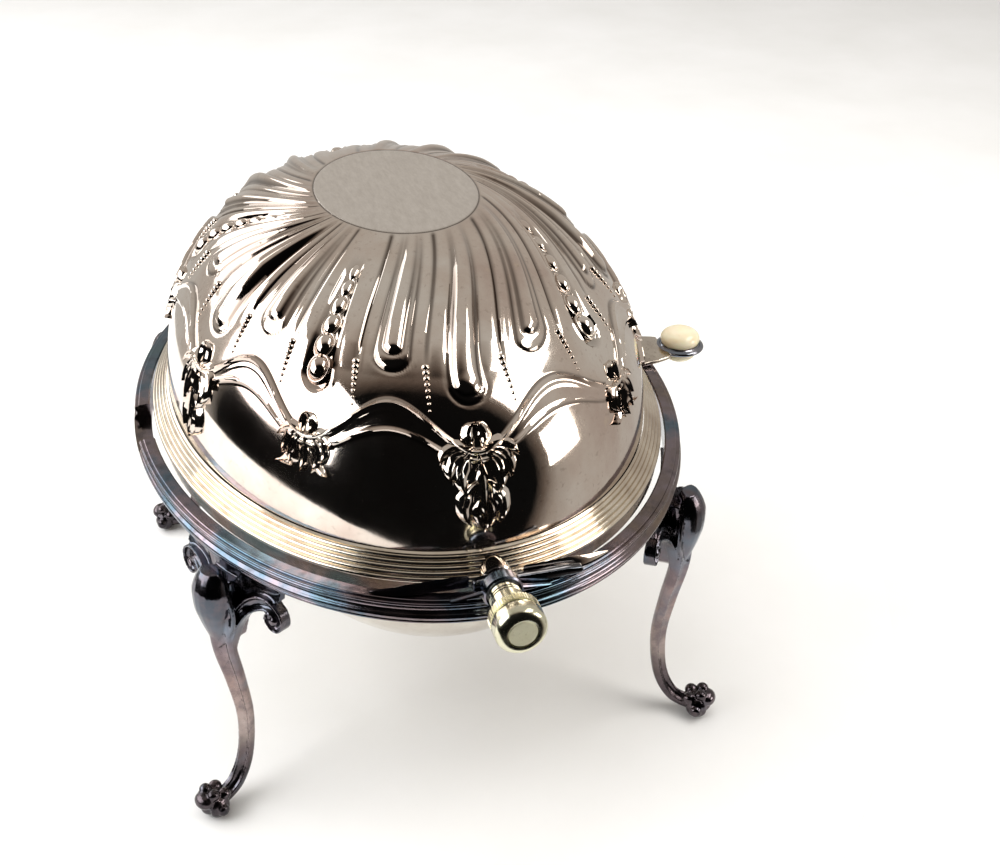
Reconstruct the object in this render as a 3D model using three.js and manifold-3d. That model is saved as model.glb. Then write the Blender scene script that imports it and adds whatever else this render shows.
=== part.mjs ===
// A Victorian silver-plated roll top chafer: an oval frame on four cast legs carries a fixed dish
// between two pivots, and a domed cover rolls half a turn about them to nest under the dish.
// Millimetres, +Z up. The origin is on the table under the centre of the frame, X runs along the
// pivots, and the handle of the closed cover is at the front, on the -Y side.
import * as THREE from "three";
import { mergeVertices } from "three/addons/utils/BufferGeometryUtils.js";
import Module from "manifold-3d";

const wasm = await Module();
wasm.setup();

// Driving dimensions.
const GAP = 0.3; // between pieces that touch or run on each other
const FRAME_LONG = 155.4; // centre of the frame to its outer edge, along X
const FRAME_SHORT = 115; // and along Y
const RIM_TOP = 124.7;
const RIM_HEIGHT = 9.7;
const RIM_WIDTH = 7.2;
const AXIS_Z = 127.1; // height of the pivots
const COVER_LONG = 138; // foot of the dome, along X
const COVER_SHORT = 98.5; // and along Y
const DOME_FOOT = 133; // where the dome starts above its border
const DOME_RISE = 87.6; // of the full curve, before its crown is flattened
const CROWN_TOP = 216.1;
const SHEET = 1.5; // thickness of the cover and the dishes
const DISH_LONG = 135; // inner dish, centre to end along the pivots
const DISH_RADIUS = 85.3; // the largest that the turning cover clears
const PIN_RADIUS = 3;
const HUB_RADIUS = 7.2;
const EAR_RADIUS = 5.6; // of the eyes that hang the cover, and of the bosses beside them
const ARM_REACH = 31; // of a stop arm's thin end from the pivot axis
const ARM_TAIL = 9.4; // and of its thick end
const ARM_HALF = 1.9; // half its height
const SLOPE = THREE.MathUtils.degToRad(58); // plan direction of each leg, from X

const RIM_BOTTOM = RIM_TOP - RIM_HEIGHT;
const FRAME_EXTRA = FRAME_LONG - FRAME_SHORT;
const COVER_EXTRA = COVER_LONG - COVER_SHORT;
const BORDER_WIDTH = 7.5;
const BORDER_SHORT = COVER_SHORT + GAP + BORDER_WIDTH; // outer edge of the cover's border

// Stations along each pivot, measured from the centre outwards.
const BOSS_START = 126;
const BOSS_END = 138.3;
const EAR_END = 146.9;
const ARM_START = EAR_END + GAP;
const ARM_END = 150.4;
const HUB_START = ARM_END + GAP;
const HUB_END = 156;
const SLEEVE_START = HUB_END + GAP;
const KNOB_START = 166.5;
const KNOB_END = 178.5;

const silver = { color: 0xb9b1a6, roughness: 0.18, metalness: 1 };
const darkSilver = { color: 0x4e4a4c, roughness: 0.28, metalness: 1 };
const nickel = { color: 0xc6bf9c, roughness: 0.22, metalness: 1 };
const oliveNickel = { color: 0xa7a27a, roughness: 0.4, metalness: 1 };
const ivory = { color: 0xe9dfb8, roughness: 0.3, metalness: 0 };

const chafer = new THREE.Group();

// ---------------------------------------------------------------- making and joining solids

// A closed geometry as a manifold-3d solid with its faces pointing out.
function solidOf(geometry) {
  const bare = geometry.clone();
  bare.deleteAttribute("normal");
  bare.deleteAttribute("uv");
  const merged = mergeVertices(bare, 1e-4);
  const build = (triVerts) =>
    new wasm.Manifold(
      new wasm.Mesh({
        numProp: 3,
        vertProperties: merged.attributes.position.array,
        triVerts,
      }),
    );
  const corners = new Uint32Array(merged.index.array);
  const made = build(corners);
  return made.volume() > 0 ? made : build(corners.reverse());
}

// A manifold-3d solid as a geometry that three.js can draw.
function geometryOf(solid) {
  const mesh = solid.getMesh();
  const geometry = new THREE.BufferGeometry();
  const positions = new THREE.BufferAttribute(mesh.vertProperties, 3);
  geometry.setAttribute("position", positions);
  geometry.setIndex(new THREE.BufferAttribute(mesh.triVerts, 1));
  geometry.computeVertexNormals();
  return geometry;
}

// Adds a solid to the chafer as one named mesh with its own material.
function piece(name, solid, finish) {
  const mesh = new THREE.Mesh(
    geometryOf(solid),
    new THREE.MeshStandardMaterial(finish),
  );
  mesh.name = name;
  chafer.add(mesh);
}

// The same piece at both ends of the pivot axis: "left" is the -X end.
function pair(name, makeAt, finish) {
  piece(name + "_left", makeAt(-1), finish);
  piece(name + "_right", makeAt(1), finish);
}

const joined = (solids) => solids.reduce((whole, next) => whole.add(next));
const points = (pairs) => pairs.map(([r, h]) => new THREE.Vector2(r, h));

// A profile of [radius, height] turned about the Z axis.
function turned(profile, sides = 40) {
  return new THREE.LatheGeometry(points(profile), sides).rotateX(Math.PI / 2);
}

// The same, turned about a line along X at the height of the pivots.
function turnedAlongPivot(profile, sides = 24) {
  return new THREE.LatheGeometry(points(profile), sides)
    .rotateZ(-Math.PI / 2)
    .translate(0, 0, AXIS_Z);
}

// Draws a round ring out along X, so that it keeps its width all round the oval.
function stretched(geometry, extra) {
  const position = geometry.attributes.position;
  for (let i = 0; i < position.count; i += 1) {
    const x = position.getX(i);
    const radius = Math.hypot(x, position.getY(i));
    if (radius > 1e-6) position.setX(i, x + (extra * x) / radius);
  }
  return geometry;
}

// A round bar or tube between two stations on the pivot axis, at one end of it.
function pivotBar(end, from, to, radius, bore = 0, sides = 24) {
  const profile = [
    [bore, from],
    [radius, from],
    [radius, to],
    [bore, to],
  ];
  if (bore > 0) profile.push([bore, from]);
  const bar = solidOf(turnedAlongPivot(profile, sides));
  return end > 0 ? bar : bar.mirror([1, 0, 0]);
}

// A flat outline extruded upwards from a height.
function plate(shape, bottom, thickness, curveSegments = 12) {
  return new THREE.ExtrudeGeometry(shape, {
    depth: thickness,
    bevelEnabled: false,
    curveSegments,
  }).translate(0, 0, bottom);
}

// A bar that follows a curve, with a half width across and a half depth in the plane of "out"
// that are functions of the distance travelled, from 0 to 1.
function sweptBar(curve, across, halfWidth, halfDepth, steps, sides = 8) {
  const bar = new THREE.CylinderGeometry(1, 1, 1, sides, steps);
  const position = bar.attributes.position;
  for (let i = 0; i < position.count; i += 1) {
    const t = THREE.MathUtils.clamp(position.getY(i) + 0.5, 0, 1);
    const along = curve.getTangentAt(t);
    const side = across.clone().addScaledVector(along, -across.dot(along));
    side.normalize();
    const out = new THREE.Vector3().crossVectors(along, side);
    const place = curve.getPointAt(t);
    place.addScaledVector(side, position.getX(i) * halfWidth(t));
    place.addScaledVector(out, position.getZ(i) * halfDepth(t));
    position.setXYZ(i, place.x, place.y, place.z);
  }
  return solidOf(bar);
}

function ball(place, radii, sides = 8) {
  const round = new THREE.SphereGeometry(1, sides, Math.round(sides * 0.7));
  return solidOf(
    round.scale(...radii).translate(place.x, place.y, place.z),
  );
}

// ---------------------------------------------------------------- frame

// A point on the oval that lies inside the frame's outer edge by some distance.
function onFrame(angle, inside, z) {
  return new THREE.Vector3(
    (FRAME_LONG - inside) * Math.cos(angle),
    (FRAME_SHORT - inside) * Math.sin(angle),
    z,
  );
}

const NOTCH_HALF = 14.3;
const NOTCH_FLOOR = 118.4;

function frameRim() {
  const section = [
    [RIM_WIDTH, 0],
    [1.6, 0],
    [0.4, 0.6],
    [0, 1.8],
    [0.5, 3],
    [1.8, 3.5],
    [2.2, 5],
    [1.4, 6],
    [1, 7.6],
    [1.6, 9],
    [2.8, RIM_HEIGHT],
    [RIM_WIDTH, RIM_HEIGHT],
    [RIM_WIDTH, 0],
  ].map(([inside, rise]) => [FRAME_SHORT - inside, RIM_BOTTOM + rise]);
  const ring = solidOf(stretched(turned(section, 48), FRAME_EXTRA));
  // The rear notch lets the handle's bracket down into the rim when the cover is open.
  const notch = solidOf(
    new THREE.BoxGeometry(2 * NOTCH_HALF, 20, 20).translate(
      0,
      FRAME_SHORT,
      NOTCH_FLOOR + 10,
    ),
  );
  // Each end is scooped out for the hub of its pivot lug and the tail of its stop arm.
  const scoops = [-1, 1].flatMap((end) => [
    pivotBar(end, HUB_START - GAP, HUB_END + 4, HUB_RADIUS + GAP),
    pivotBar(end, ARM_START - GAP - 4, ARM_END + GAP, ARM_TAIL + 0.8),
  ]);
  return ring.subtract(notch).subtract(joined(scoops));
}

// Everything above the top face of the rim, for trimming what is soldered onto it.
function aboveRim() {
  return solidOf(new THREE.BoxGeometry(400, 400, 40).translate(0, 0, RIM_TOP + GAP + 20));
}

// A pivot lug: the hub that carries the pivot pin, on a low saddle along the top of the rim.
function pivotLug(end) {
  const hub = pivotBar(end, HUB_START, HUB_END, HUB_RADIUS);
  const saddleLine = new THREE.CatmullRomCurve3(
    [-18, -9, 0, 9, 18].map((y) => {
      const place = onFrame(Math.asin(y / FRAME_SHORT), 2.4, RIM_TOP + GAP);
      return new THREE.Vector3(end * place.x, y, place.z);
    }),
  );
  const up = new THREE.Vector3(0, 0, 1);
  const low = (t) => 0.7 + 1.3 * Math.sin(Math.PI * t);
  const saddle = sweptBar(saddleLine, up, low, () => 1.9, 8, 6);
  return joined([saddle.intersect(aboveRim()), hub])
    .subtract(pivotBar(end, ARM_START - 4, ARM_END + GAP, 40))
    .subtract(pivotBar(end, 100, 170, PIN_RADIUS + GAP));
}

// A stop rest: a leaf of metal that stands along the inner edge of the rim beside a pivot and
// tapers away from it. The stop arm lies against the front ones when the cover is closed and
// against the rear ones when it is open.
function stopRest(end, side) {
  const leafLine = new THREE.CatmullRomCurve3(
    [
      [10, 8.8],
      [15, 8.6],
      [22, 8],
      [32, 6.2],
      [44, 4],
    ].map(([y, inside]) => {
      const place = onFrame(Math.asin(y / FRAME_SHORT), inside, 0);
      const rise = 3 * (1 - (y / 46) ** 2);
      return new THREE.Vector3(end * place.x, side * y, RIM_TOP + GAP + rise);
    }),
  );
  const up = new THREE.Vector3(0, 0, 1);
  const height = (t) => 0.6 + 3.2 * Math.sin(Math.PI * Math.min(0.5, t + 0.2)) * (1 - t) ** 0.7;
  const thickness = (t) => 0.4 + 1.2 * Math.sin(Math.PI * t ** 1.6);
  return sweptBar(leafLine, up, height, thickness, 9, 6).intersect(aboveRim());
}

// An upright oval block as wide as the frame, for trimming what must stay above or below a height.
function ovalBlock(bottom, top) {
  const half = FRAME_SHORT + 20; // clear of the rim
  const box = [
    [0, bottom],
    [half, bottom],
    [half, top],
    [0, top],
  ];
  return stretched(turned(box, 24), FRAME_EXTRA);
}

// ---------------------------------------------------------------- legs

const FOOT_X = 103.3;
const FOOT_Y = 104.9;
const KNEE_ANGLE = THREE.MathUtils.degToRad(52.8); // on the oval, from the X axis
const WING_SWEEP = THREE.MathUtils.degToRad(11);

// A cast cabriole leg: a bulging knee under the rim, a side wing ending in a scroll to each hand,
// and a slender shaft that curves in and then out to a scrolled foot.
function leg(endX, endY) {
  const outward = new THREE.Vector3(endX * Math.cos(SLOPE), endY * Math.sin(SLOPE), 0);
  const across = new THREE.Vector3(-outward.y, outward.x, 0);
  const inPlane = (reach, height) =>
    new THREE.Vector3(endX * FOOT_X, endY * FOOT_Y, height).addScaledVector(outward, reach);
  const shaft = new THREE.CatmullRomCurve3([
    inPlane(-17, RIM_BOTTOM - 3),
    inPlane(-13.6, 98),
    inPlane(-13.4, 80),
    inPlane(-17, 60),
    inPlane(-19.6, 40),
    inPlane(-17.6, 20),
    inPlane(-11, 7.5),
    inPlane(-3, 4.6),
    inPlane(3, 7.5),
  ]);
  const halfWidth = (t) => 3.1 + 7.5 * Math.max(0, 1 - t / 0.42) ** 1.3;
  const halfDepth = (t) => 2.6 + 1.6 * Math.max(0, 1 - t / 0.5);
  const knee = ball(inPlane(-13.5, 99), [8.5, 8.5, 12.5], 10);
  const wings = [-1, 1].map((hand) => {
    const wing = new THREE.CatmullRomCurve3(
      [0, 0.3, 0.6, 0.85, 1].map((share) => {
        const angle = KNEE_ANGLE + hand * share * WING_SWEEP;
        const place = onFrame(angle, 5.2, 0);
        const dip = 4 + 22 * (1 - share) ** 2 + 5 * Math.max(0, share - 0.8);
        return new THREE.Vector3(endX * place.x, endY * place.y, RIM_BOTTOM - dip);
      }),
    );
    const level = new THREE.Vector3(0, 0, 1);
    return sweptBar(wing, level, (t) => 5 - 1.6 * t, (t) => 3.4 - 0.8 * t, 4, 6);
  });
  const scrolls = [-1, 1].map((hand) => {
    const place = onFrame(KNEE_ANGLE + hand * WING_SWEEP, 5, RIM_BOTTOM - 8);
    return ball(new THREE.Vector3(endX * place.x, endY * place.y, place.z), [4.6, 4.6, 4.6]);
  });
  const toes = [
    ball(inPlane(0, 4.3), [5, 5, 5], 10),
    ball(inPlane(4.2, 7.4), [4.2, 4.2, 4.2]),
    ball(inPlane(-0.8, 9.4), [4, 4, 4]),
  ];
  const rough = joined([
    sweptBar(shaft, across, halfWidth, halfDepth, 12, 6),
    knee,
    ...wings,
    ...scrolls,
    ...toes,
  ]);
  // The knee is trimmed to seat under the rim, and the foot to stand flat.
  const rimSeat = solidOf(ovalBlock(RIM_BOTTOM - GAP, RIM_BOTTOM + 40));
  const floor = solidOf(new THREE.BoxGeometry(400, 400, 20).translate(0, 0, -10));
  return rough.subtract(rimSeat).subtract(floor);
}

// ---------------------------------------------------------------- fixed dish and what lies in it

// Radius of the dish about the pivot axis, at a distance from the centre.
function dishRadius(distance) {
  return DISH_RADIUS * (1 - (distance / DISH_LONG) ** 2.4) ** 0.48;
}

const DISH_MOUTH = 126.2;

// The spindle shape whose lower half is the dish, smaller all round by some inset.
function dishSpindle(inset) {
  const stations = 14;
  const profile = [];
  for (let i = 0; i <= stations; i += 1) {
    const reach = Math.cos((Math.PI * i) / stations); // closer together towards the ends
    const radius = i % stations === 0 ? 0 : dishRadius(DISH_LONG * Math.abs(reach));
    const scale = 1 - inset / DISH_RADIUS;
    profile.push([radius * scale, -reach * (DISH_LONG - inset)]);
  }
  return solidOf(turnedAlongPivot(profile, 32));
}

const LINER_LONG = 106; // mouth of the liner, centre to end along X
const LINER_SHORT = 70; // and along Y
const LINER_DEPTH = 46;
const FLANGE_WIDTH = 7;
const LINER_EXTRA = LINER_LONG - LINER_SHORT;
const LINER_TOP = DISH_MOUTH + GAP + 1.2;

// The outline of the dish's mouth, seen from above, out to where the dish narrows to its bosses.
function mouthOutline() {
  const outline = new THREE.Shape();
  const steps = 32;
  for (let i = 0; i < steps; i += 1) {
    const turn = (2 * Math.PI * i) / steps;
    const x = (BOSS_START - 3) * Math.cos(turn);
    const y = Math.sign(Math.sin(turn)) * (dishRadius(Math.abs(x)) - 0.4);
    if (i === 0) outline.moveTo(x, 0);
    else outline.lineTo(x, i === steps / 2 ? 0 : y);
  }
  outline.closePath();
  return outline;
}

// The fixed dish: the lower half of a hollow spindle, with a flat deck across its mouth whose oval
// opening takes the liner, and a boss at each end for the pivot pin.
function baseDish() {
  const above = solidOf(
    new THREE.BoxGeometry(400, 400, 200).translate(0, 0, DISH_MOUTH + 100),
  );
  const shell = dishSpindle(0).subtract(dishSpindle(SHEET)).subtract(above);
  const opening = turned(rod(LINER_SHORT + 1, DISH_MOUTH - 9, DISH_MOUTH + 9), 36);
  const deck = solidOf(plate(mouthOutline(), DISH_MOUTH - SHEET, SHEET)).subtract(
    solidOf(stretched(opening, LINER_EXTRA)),
  );
  const bosses = [-1, 1].map((end) => pivotBar(end, BOSS_START, BOSS_END, EAR_RADIUS));
  const bores = [-1, 1].map((end) =>
    pivotBar(end, BOSS_START + 4, BOSS_END + 5, PIN_RADIUS + GAP),
  );
  return joined([shell, deck, ...bosses]).subtract(joined(bores));
}

// Half of an oval bowl's section, from the middle of its floor out to its edge.
function bowlCurve(radius, depth, top) {
  const steps = 7;
  return Array.from({ length: steps + 1 }, (_, i) => {
    const turn = (Math.PI / 2) * (i / steps);
    return [radius * Math.sin(turn) ** 0.85, top - depth * Math.cos(turn) ** 0.85];
  });
}

// The liner: an oval bowl hung in the dish's deck by a flat flange.
function foodLiner() {
  const outer = bowlCurve(LINER_SHORT, LINER_DEPTH, LINER_TOP);
  const inner = bowlCurve(LINER_SHORT - SHEET, LINER_DEPTH - SHEET, LINER_TOP);
  const wall = [...outer, ...inner.reverse()];
  const bowl = turned(wall, 36).scale(LINER_LONG / LINER_SHORT, 1, 1);
  const edge = [
    [LINER_SHORT - 1, DISH_MOUTH + GAP],
    [LINER_SHORT + FLANGE_WIDTH, DISH_MOUTH + GAP],
    [LINER_SHORT + FLANGE_WIDTH, LINER_TOP],
    [LINER_SHORT - 1, LINER_TOP],
    [LINER_SHORT - 1, DISH_MOUTH + GAP],
  ];
  return solidOf(bowl).add(solidOf(stretched(turned(edge, 36), LINER_EXTRA)));
}

const DRAINER_TOP = 112;
const DRAINER_LONG = 98;
const DRAINER_SHORT = 64.4;

// Draws an oval outline of straight sides into a shape or a path.
function drawOval(outline, centreX, centreY, long, short, sides) {
  for (let i = 0; i < sides; i += 1) {
    const turn = (2 * Math.PI * i) / sides;
    const x = centreX + long * Math.cos(turn);
    const y = centreY + short * Math.sin(turn);
    if (i === 0) outline.moveTo(x, y);
    else outline.lineTo(x, y);
  }
  outline.closePath();
  return outline;
}

// The pierced drainer: a flat oval plate with rows of holes, resting inside the liner.
function drainer() {
  const oval = drawOval(new THREE.Shape(), 0, 0, DRAINER_LONG, DRAINER_SHORT, 40);
  for (const [share, count] of [
    [0.28, 6],
    [0.55, 10],
    [0.8, 16],
  ]) {
    for (let i = 0; i < count; i += 1) {
      const turn = (2 * Math.PI * i) / count;
      const x = share * DRAINER_LONG * Math.cos(turn);
      const y = share * DRAINER_SHORT * Math.sin(turn);
      oval.holes.push(drawOval(new THREE.Path(), x, y, 2.6, 2.6, 8));
    }
  }
  return solidOf(plate(oval, DRAINER_TOP - 1.4, 1.4));
}

// ---------------------------------------------------------------- rolling cover

// Half of the dome's section: a full round curve with a flattened crown.
function domeCurve(inset) {
  const steps = 9;
  const curve = [[COVER_SHORT - inset, AXIS_Z + 1.6]];
  for (let i = 0; i <= steps; i += 1) {
    const turn = (Math.PI / 2) * (i / steps);
    const share = Math.cos(turn) ** (2 / 1.95);
    const rise = Math.sin(turn) ** (2 * 0.431);
    const height = DOME_FOOT + (DOME_RISE - inset) * rise;
    curve.push([share * (COVER_SHORT - inset), Math.min(height, CROWN_TOP - inset)]);
  }
  curve[curve.length - 1][0] = 0;
  return curve;
}

function earClearance() {
  return joined(
    [-1, 1].map((end) => pivotBar(end, 120, 160, EAR_RADIUS + GAP)),
  );
}

function coverShell() {
  const wall = [...domeCurve(0), ...domeCurve(SHEET).reverse()];
  wall.push(wall[0]);
  const dome = turned(wall, 44).scale(COVER_LONG / COVER_SHORT, 1, 1);
  return solidOf(dome).subtract(earClearance());
}

// The reeded moulding soldered round the foot of the dome.
function coverBorder() {
  const section = [
    [0, -0.9],
    [BORDER_WIDTH - 0.5, -0.9],
    [BORDER_WIDTH, 0.3],
    [BORDER_WIDTH - 0.5, 1.6],
    [BORDER_WIDTH - 2, 2],
    [BORDER_WIDTH - 2.4, 3.4],
    [BORDER_WIDTH - 4, 3.9],
    [BORDER_WIDTH - 4.4, 5.2],
    [BORDER_WIDTH - 6, 5.8],
    [BORDER_WIDTH - 6.4, 7],
    [0, 7.6],
    [0, -0.9],
  ].map(([out, rise]) => [COVER_SHORT + GAP + out, AXIS_Z + rise]);
  const ring = solidOf(stretched(turned(section, 48), COVER_EXTRA));
  return ring.subtract(earClearance());
}

// An ear: the eye soldered into each end of the cover's border, which turns on the pivot pin.
function coverEar(end) {
  return pivotBar(end, BOSS_END + GAP, EAR_END, EAR_RADIUS, PIN_RADIUS + GAP);
}

// A stop arm: a tapering bar keyed to the ear, which rests on the rim at the front when the cover
// is closed and at the rear when it is open.
function stopArm(end) {
  const outline = new THREE.Shape();
  outline.moveTo(ARM_TAIL, -ARM_HALF - 0.1);
  outline.lineTo(ARM_TAIL, ARM_HALF + 0.4);
  outline.lineTo(6, ARM_HALF + 1);
  outline.absarc(0, 0, 4.9, 0.62, Math.PI - 0.52, false);
  outline.lineTo(-ARM_REACH + 1, 1.1);
  outline.absarc(-ARM_REACH + 1, 0, 1.1, Math.PI / 2, 1.5 * Math.PI, false);
  outline.lineTo(-ARM_REACH + 1, -ARM_HALF + 0.8);
  outline.absarc(0, 0, 4.9, Math.PI + 0.4, 2 * Math.PI - 0.4, false);
  outline.closePath();
  // The outline is drawn in Y and Z, then stood upright across the pivot axis.
  const bar = plate(outline, 0, ARM_END - ARM_START, 6);
  const upright = new THREE.Matrix4().makeBasis(
    new THREE.Vector3(0, 1, 0),
    new THREE.Vector3(0, 0, 1),
    new THREE.Vector3(1, 0, 0),
  );
  bar.applyMatrix4(upright).translate(ARM_START, 0, AXIS_Z);
  const right = solidOf(bar).subtract(pivotBar(1, 100, 200, PIN_RADIUS + GAP));
  return end > 0 ? right : right.mirror([1, 0, 0]);
}

// ---------------------------------------------------------------- pivots and knobs

const PIN_ENTRY = 4.5; // depth of the pin's hole in the knob

function pivotPin(end) {
  return pivotBar(end, BOSS_START + 4.6, KNOB_START + PIN_ENTRY - GAP, PIN_RADIUS);
}

function knobSleeve(end) {
  return pivotBar(end, SLEEVE_START, KNOB_START - GAP, 5.9, PIN_RADIUS + GAP);
}

const KNOB_RADIUS = 9.35;
const INSET_RADIUS = 5.2;

// The knob: a milled ring round its foot and a rounded cap with a shallow recess in its face.
function knob(end) {
  const cap = [
    [0, KNOB_START],
    [8.3, KNOB_START],
    [8.3, KNOB_START + 3.6],
    [KNOB_RADIUS - 0.6, KNOB_START + 4],
    [KNOB_RADIUS, KNOB_START + 6],
    [KNOB_RADIUS - 0.5, KNOB_START + 8.6],
    [8, KNOB_START + 10.6],
    [6.9, KNOB_END - 0.5],
    [6, KNOB_END],
    [INSET_RADIUS + GAP, KNOB_END],
    [INSET_RADIUS + GAP, KNOB_END - 1.5],
    [0, KNOB_END - 1.5],
  ];
  const milling = new THREE.Shape();
  const teeth = 24;
  for (let i = 0; i < 2 * teeth; i += 1) {
    const turn = (Math.PI * i) / teeth;
    const radius = i % 2 ? KNOB_RADIUS - 0.55 : KNOB_RADIUS;
    const [x, y] = [radius * Math.cos(turn), radius * Math.sin(turn)];
    if (i === 0) milling.moveTo(x, y);
    else milling.lineTo(x, y);
  }
  milling.closePath();
  const ring = plate(milling, KNOB_START + 0.5, 3.2).rotateY(Math.PI / 2);
  const body = solidOf(turnedAlongPivot(cap, 24)).add(solidOf(ring.translate(0, 0, AXIS_Z)));
  const right = body.subtract(pivotBar(1, 150, KNOB_START + PIN_ENTRY, PIN_RADIUS + GAP));
  return end > 0 ? right : right.mirror([1, 0, 0]);
}

function knobInset(end) {
  return pivotBar(end, KNOB_END - 1.5 + GAP, KNOB_END - 0.2, INSET_RADIUS);
}

// ---------------------------------------------------------------- handle of the cover

const TAB_BOTTOM = RIM_TOP + GAP;
const TAB_THICK = 1.8;
const TAB_HALF = 13.6;
const TAB_ROOT = BORDER_SHORT + GAP; // distance of its bracket from the pivot axis
const BUTTON_Y = -131;
const DISC_RADIUS = 11;
const STUD_RADIUS = 1.6;

// The tab: a flat tongue under the handle's disc, with its root turned up against the border.
function handleTab() {
  const tongue = new THREE.Shape();
  tongue.moveTo(-TAB_HALF, -TAB_ROOT);
  tongue.quadraticCurveTo(-TAB_HALF, -118, -9.4, -122.6);
  tongue.lineTo(9.4, -122.6);
  tongue.quadraticCurveTo(TAB_HALF, -118, TAB_HALF, -TAB_ROOT);
  tongue.closePath();
  const bracket = new THREE.BoxGeometry(2 * TAB_HALF, 2, 8.6).translate(
    0,
    -TAB_ROOT - 1,
    TAB_BOTTOM + 4.3,
  );
  const disc = turned(
    [
      [0, TAB_BOTTOM - 0.2],
      [DISC_RADIUS - 0.8, TAB_BOTTOM - 0.2],
      [DISC_RADIUS, TAB_BOTTOM + 1],
      [DISC_RADIUS - 0.8, TAB_BOTTOM + 2.4],
      [0, TAB_BOTTOM + 2.4],
    ],
    24,
  ).translate(0, BUTTON_Y, 0);
  const bore = turned(rod(STUD_RADIUS + GAP, 100, 150), 12).translate(0, BUTTON_Y, 0);
  return joined([plate(tongue, TAB_BOTTOM, TAB_THICK), bracket, disc].map(solidOf)).subtract(
    solidOf(bore),
  );
}

function rod(radius, bottom, top) {
  return [
    [0, bottom],
    [radius, bottom],
    [radius, top],
    [0, top],
  ];
}

// A turned button with a blind hole in its flat face, which the handle's stud enters.
function button(radius, height, face, up) {
  const hole = STUD_RADIUS + GAP;
  const profile = [
    [0, 0.55 * height],
    [hole, 0.55 * height],
    [hole, 0],
    [0.82 * radius, 0],
  ];
  for (let i = 0; i <= 5; i += 1) {
    const turn = (Math.PI / 2) * (i / 5);
    profile.push([radius * Math.cos(turn), 0.18 * height + 0.82 * height * Math.sin(turn)]);
  }
  profile[profile.length - 1][0] = 0;
  const turnedUp = turned(profile, 20);
  return solidOf(turnedUp.scale(1, 1, up).translate(0, BUTTON_Y, face));
}

const UPPER_FACE = TAB_BOTTOM + 2.4 + GAP;
const LOWER_FACE = TAB_BOTTOM - 0.2 - GAP;
const UPPER_HEIGHT = 7;
const LOWER_HEIGHT = 5.6;

function handleStud() {
  const stud = rod(STUD_RADIUS, LOWER_FACE - 0.4 * LOWER_HEIGHT, UPPER_FACE + 0.4 * UPPER_HEIGHT);
  return solidOf(turned(stud, 12).translate(0, BUTTON_Y, 0));
}

// ---------------------------------------------------------------- the assembly

piece("frame_rim", frameRim(), darkSilver);
pair("pivot_lug", pivotLug, darkSilver);
pair("stop_rest_front", (end) => stopRest(end, -1), darkSilver);
pair("stop_rest_rear", (end) => stopRest(end, 1), darkSilver);
piece("leg_rear_left", leg(-1, 1), darkSilver);
piece("leg_front_left", leg(-1, -1), darkSilver);
piece("leg_rear_right", leg(1, 1), darkSilver);
piece("leg_front_right", leg(1, -1), darkSilver);

piece("base_dish", baseDish(), silver);
piece("food_liner", foodLiner(), silver);
piece("drainer", drainer(), silver);

piece("cover_shell", coverShell(), silver);
piece("cover_border", coverBorder(), silver);
pair("cover_ear", coverEar, silver);
pair("stop_arm", stopArm, darkSilver);

pair("pivot_pin", pivotPin, nickel);
pair("knob_sleeve", knobSleeve, nickel);
pair("knob_cap", knob, nickel);
pair("knob_inset", knobInset, oliveNickel);

piece("handle_tab", handleTab(), silver);
piece("handle_button_upper", button(9, UPPER_HEIGHT, UPPER_FACE, 1), ivory);
piece("handle_button_lower", button(7.4, LOWER_HEIGHT, LOWER_FACE, -1), ivory);
piece("handle_stud", handleStud(), nickel);

export default chafer;
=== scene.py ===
# A Victorian silver-plated roll top chafer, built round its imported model: metres, +Z up, X along
# the pivots, the handle of the closed cover on the -Y side, the origin on the table.
import math

import bpy
import numpy as np
from mathutils import Matrix, Vector


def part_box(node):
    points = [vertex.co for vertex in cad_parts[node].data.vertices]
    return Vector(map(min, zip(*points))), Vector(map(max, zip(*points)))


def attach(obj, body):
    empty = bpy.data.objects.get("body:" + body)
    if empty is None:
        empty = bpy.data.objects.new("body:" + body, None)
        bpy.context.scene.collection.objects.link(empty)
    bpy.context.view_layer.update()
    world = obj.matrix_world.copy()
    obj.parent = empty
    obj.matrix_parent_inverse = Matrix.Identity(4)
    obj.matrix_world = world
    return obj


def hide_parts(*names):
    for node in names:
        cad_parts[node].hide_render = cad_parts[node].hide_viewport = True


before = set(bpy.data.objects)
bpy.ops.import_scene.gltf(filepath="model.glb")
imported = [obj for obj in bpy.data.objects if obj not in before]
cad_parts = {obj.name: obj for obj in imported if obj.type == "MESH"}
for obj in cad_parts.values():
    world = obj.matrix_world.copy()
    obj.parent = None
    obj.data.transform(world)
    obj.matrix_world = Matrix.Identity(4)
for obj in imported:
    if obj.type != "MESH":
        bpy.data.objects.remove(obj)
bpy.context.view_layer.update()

MM = 0.001

# ---------------------------------------------------------------- camera
# A short telephoto lens looks down on the pivot end of the dish from in front of the left knob.
camera_data = bpy.data.cameras.new("studio_camera")
camera_data.sensor_width = 36
camera_data.lens = 49.64
camera = bpy.data.objects.new("studio_camera", camera_data)
bpy.context.scene.collection.objects.link(camera)
camera.matrix_world = (
    Matrix.Translation((-0.51585, 0.11049, 0.42321))
    @ Matrix.Rotation(math.radians(-106.77), 4, "Z")
    @ Matrix.Rotation(math.radians(90 - 31.50), 4, "X")
    @ Matrix.Rotation(math.radians(0.48), 4, "Z")
)
bpy.context.scene.camera = camera
bpy.context.scene.view_settings.view_transform = "Standard"

# ---------------------------------------------------------------- table and light
# A pale table top under a studio tent: two tall soft boxes at the sides, a broad soft light above
# and a dim room in front, which is what the polished silver mirrors.


def nodes_of(material):
    """The node tree of a new material, with its surface shader."""
    material.use_nodes = True
    tree = material.node_tree
    return tree, tree.nodes["Principled BSDF"]


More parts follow.
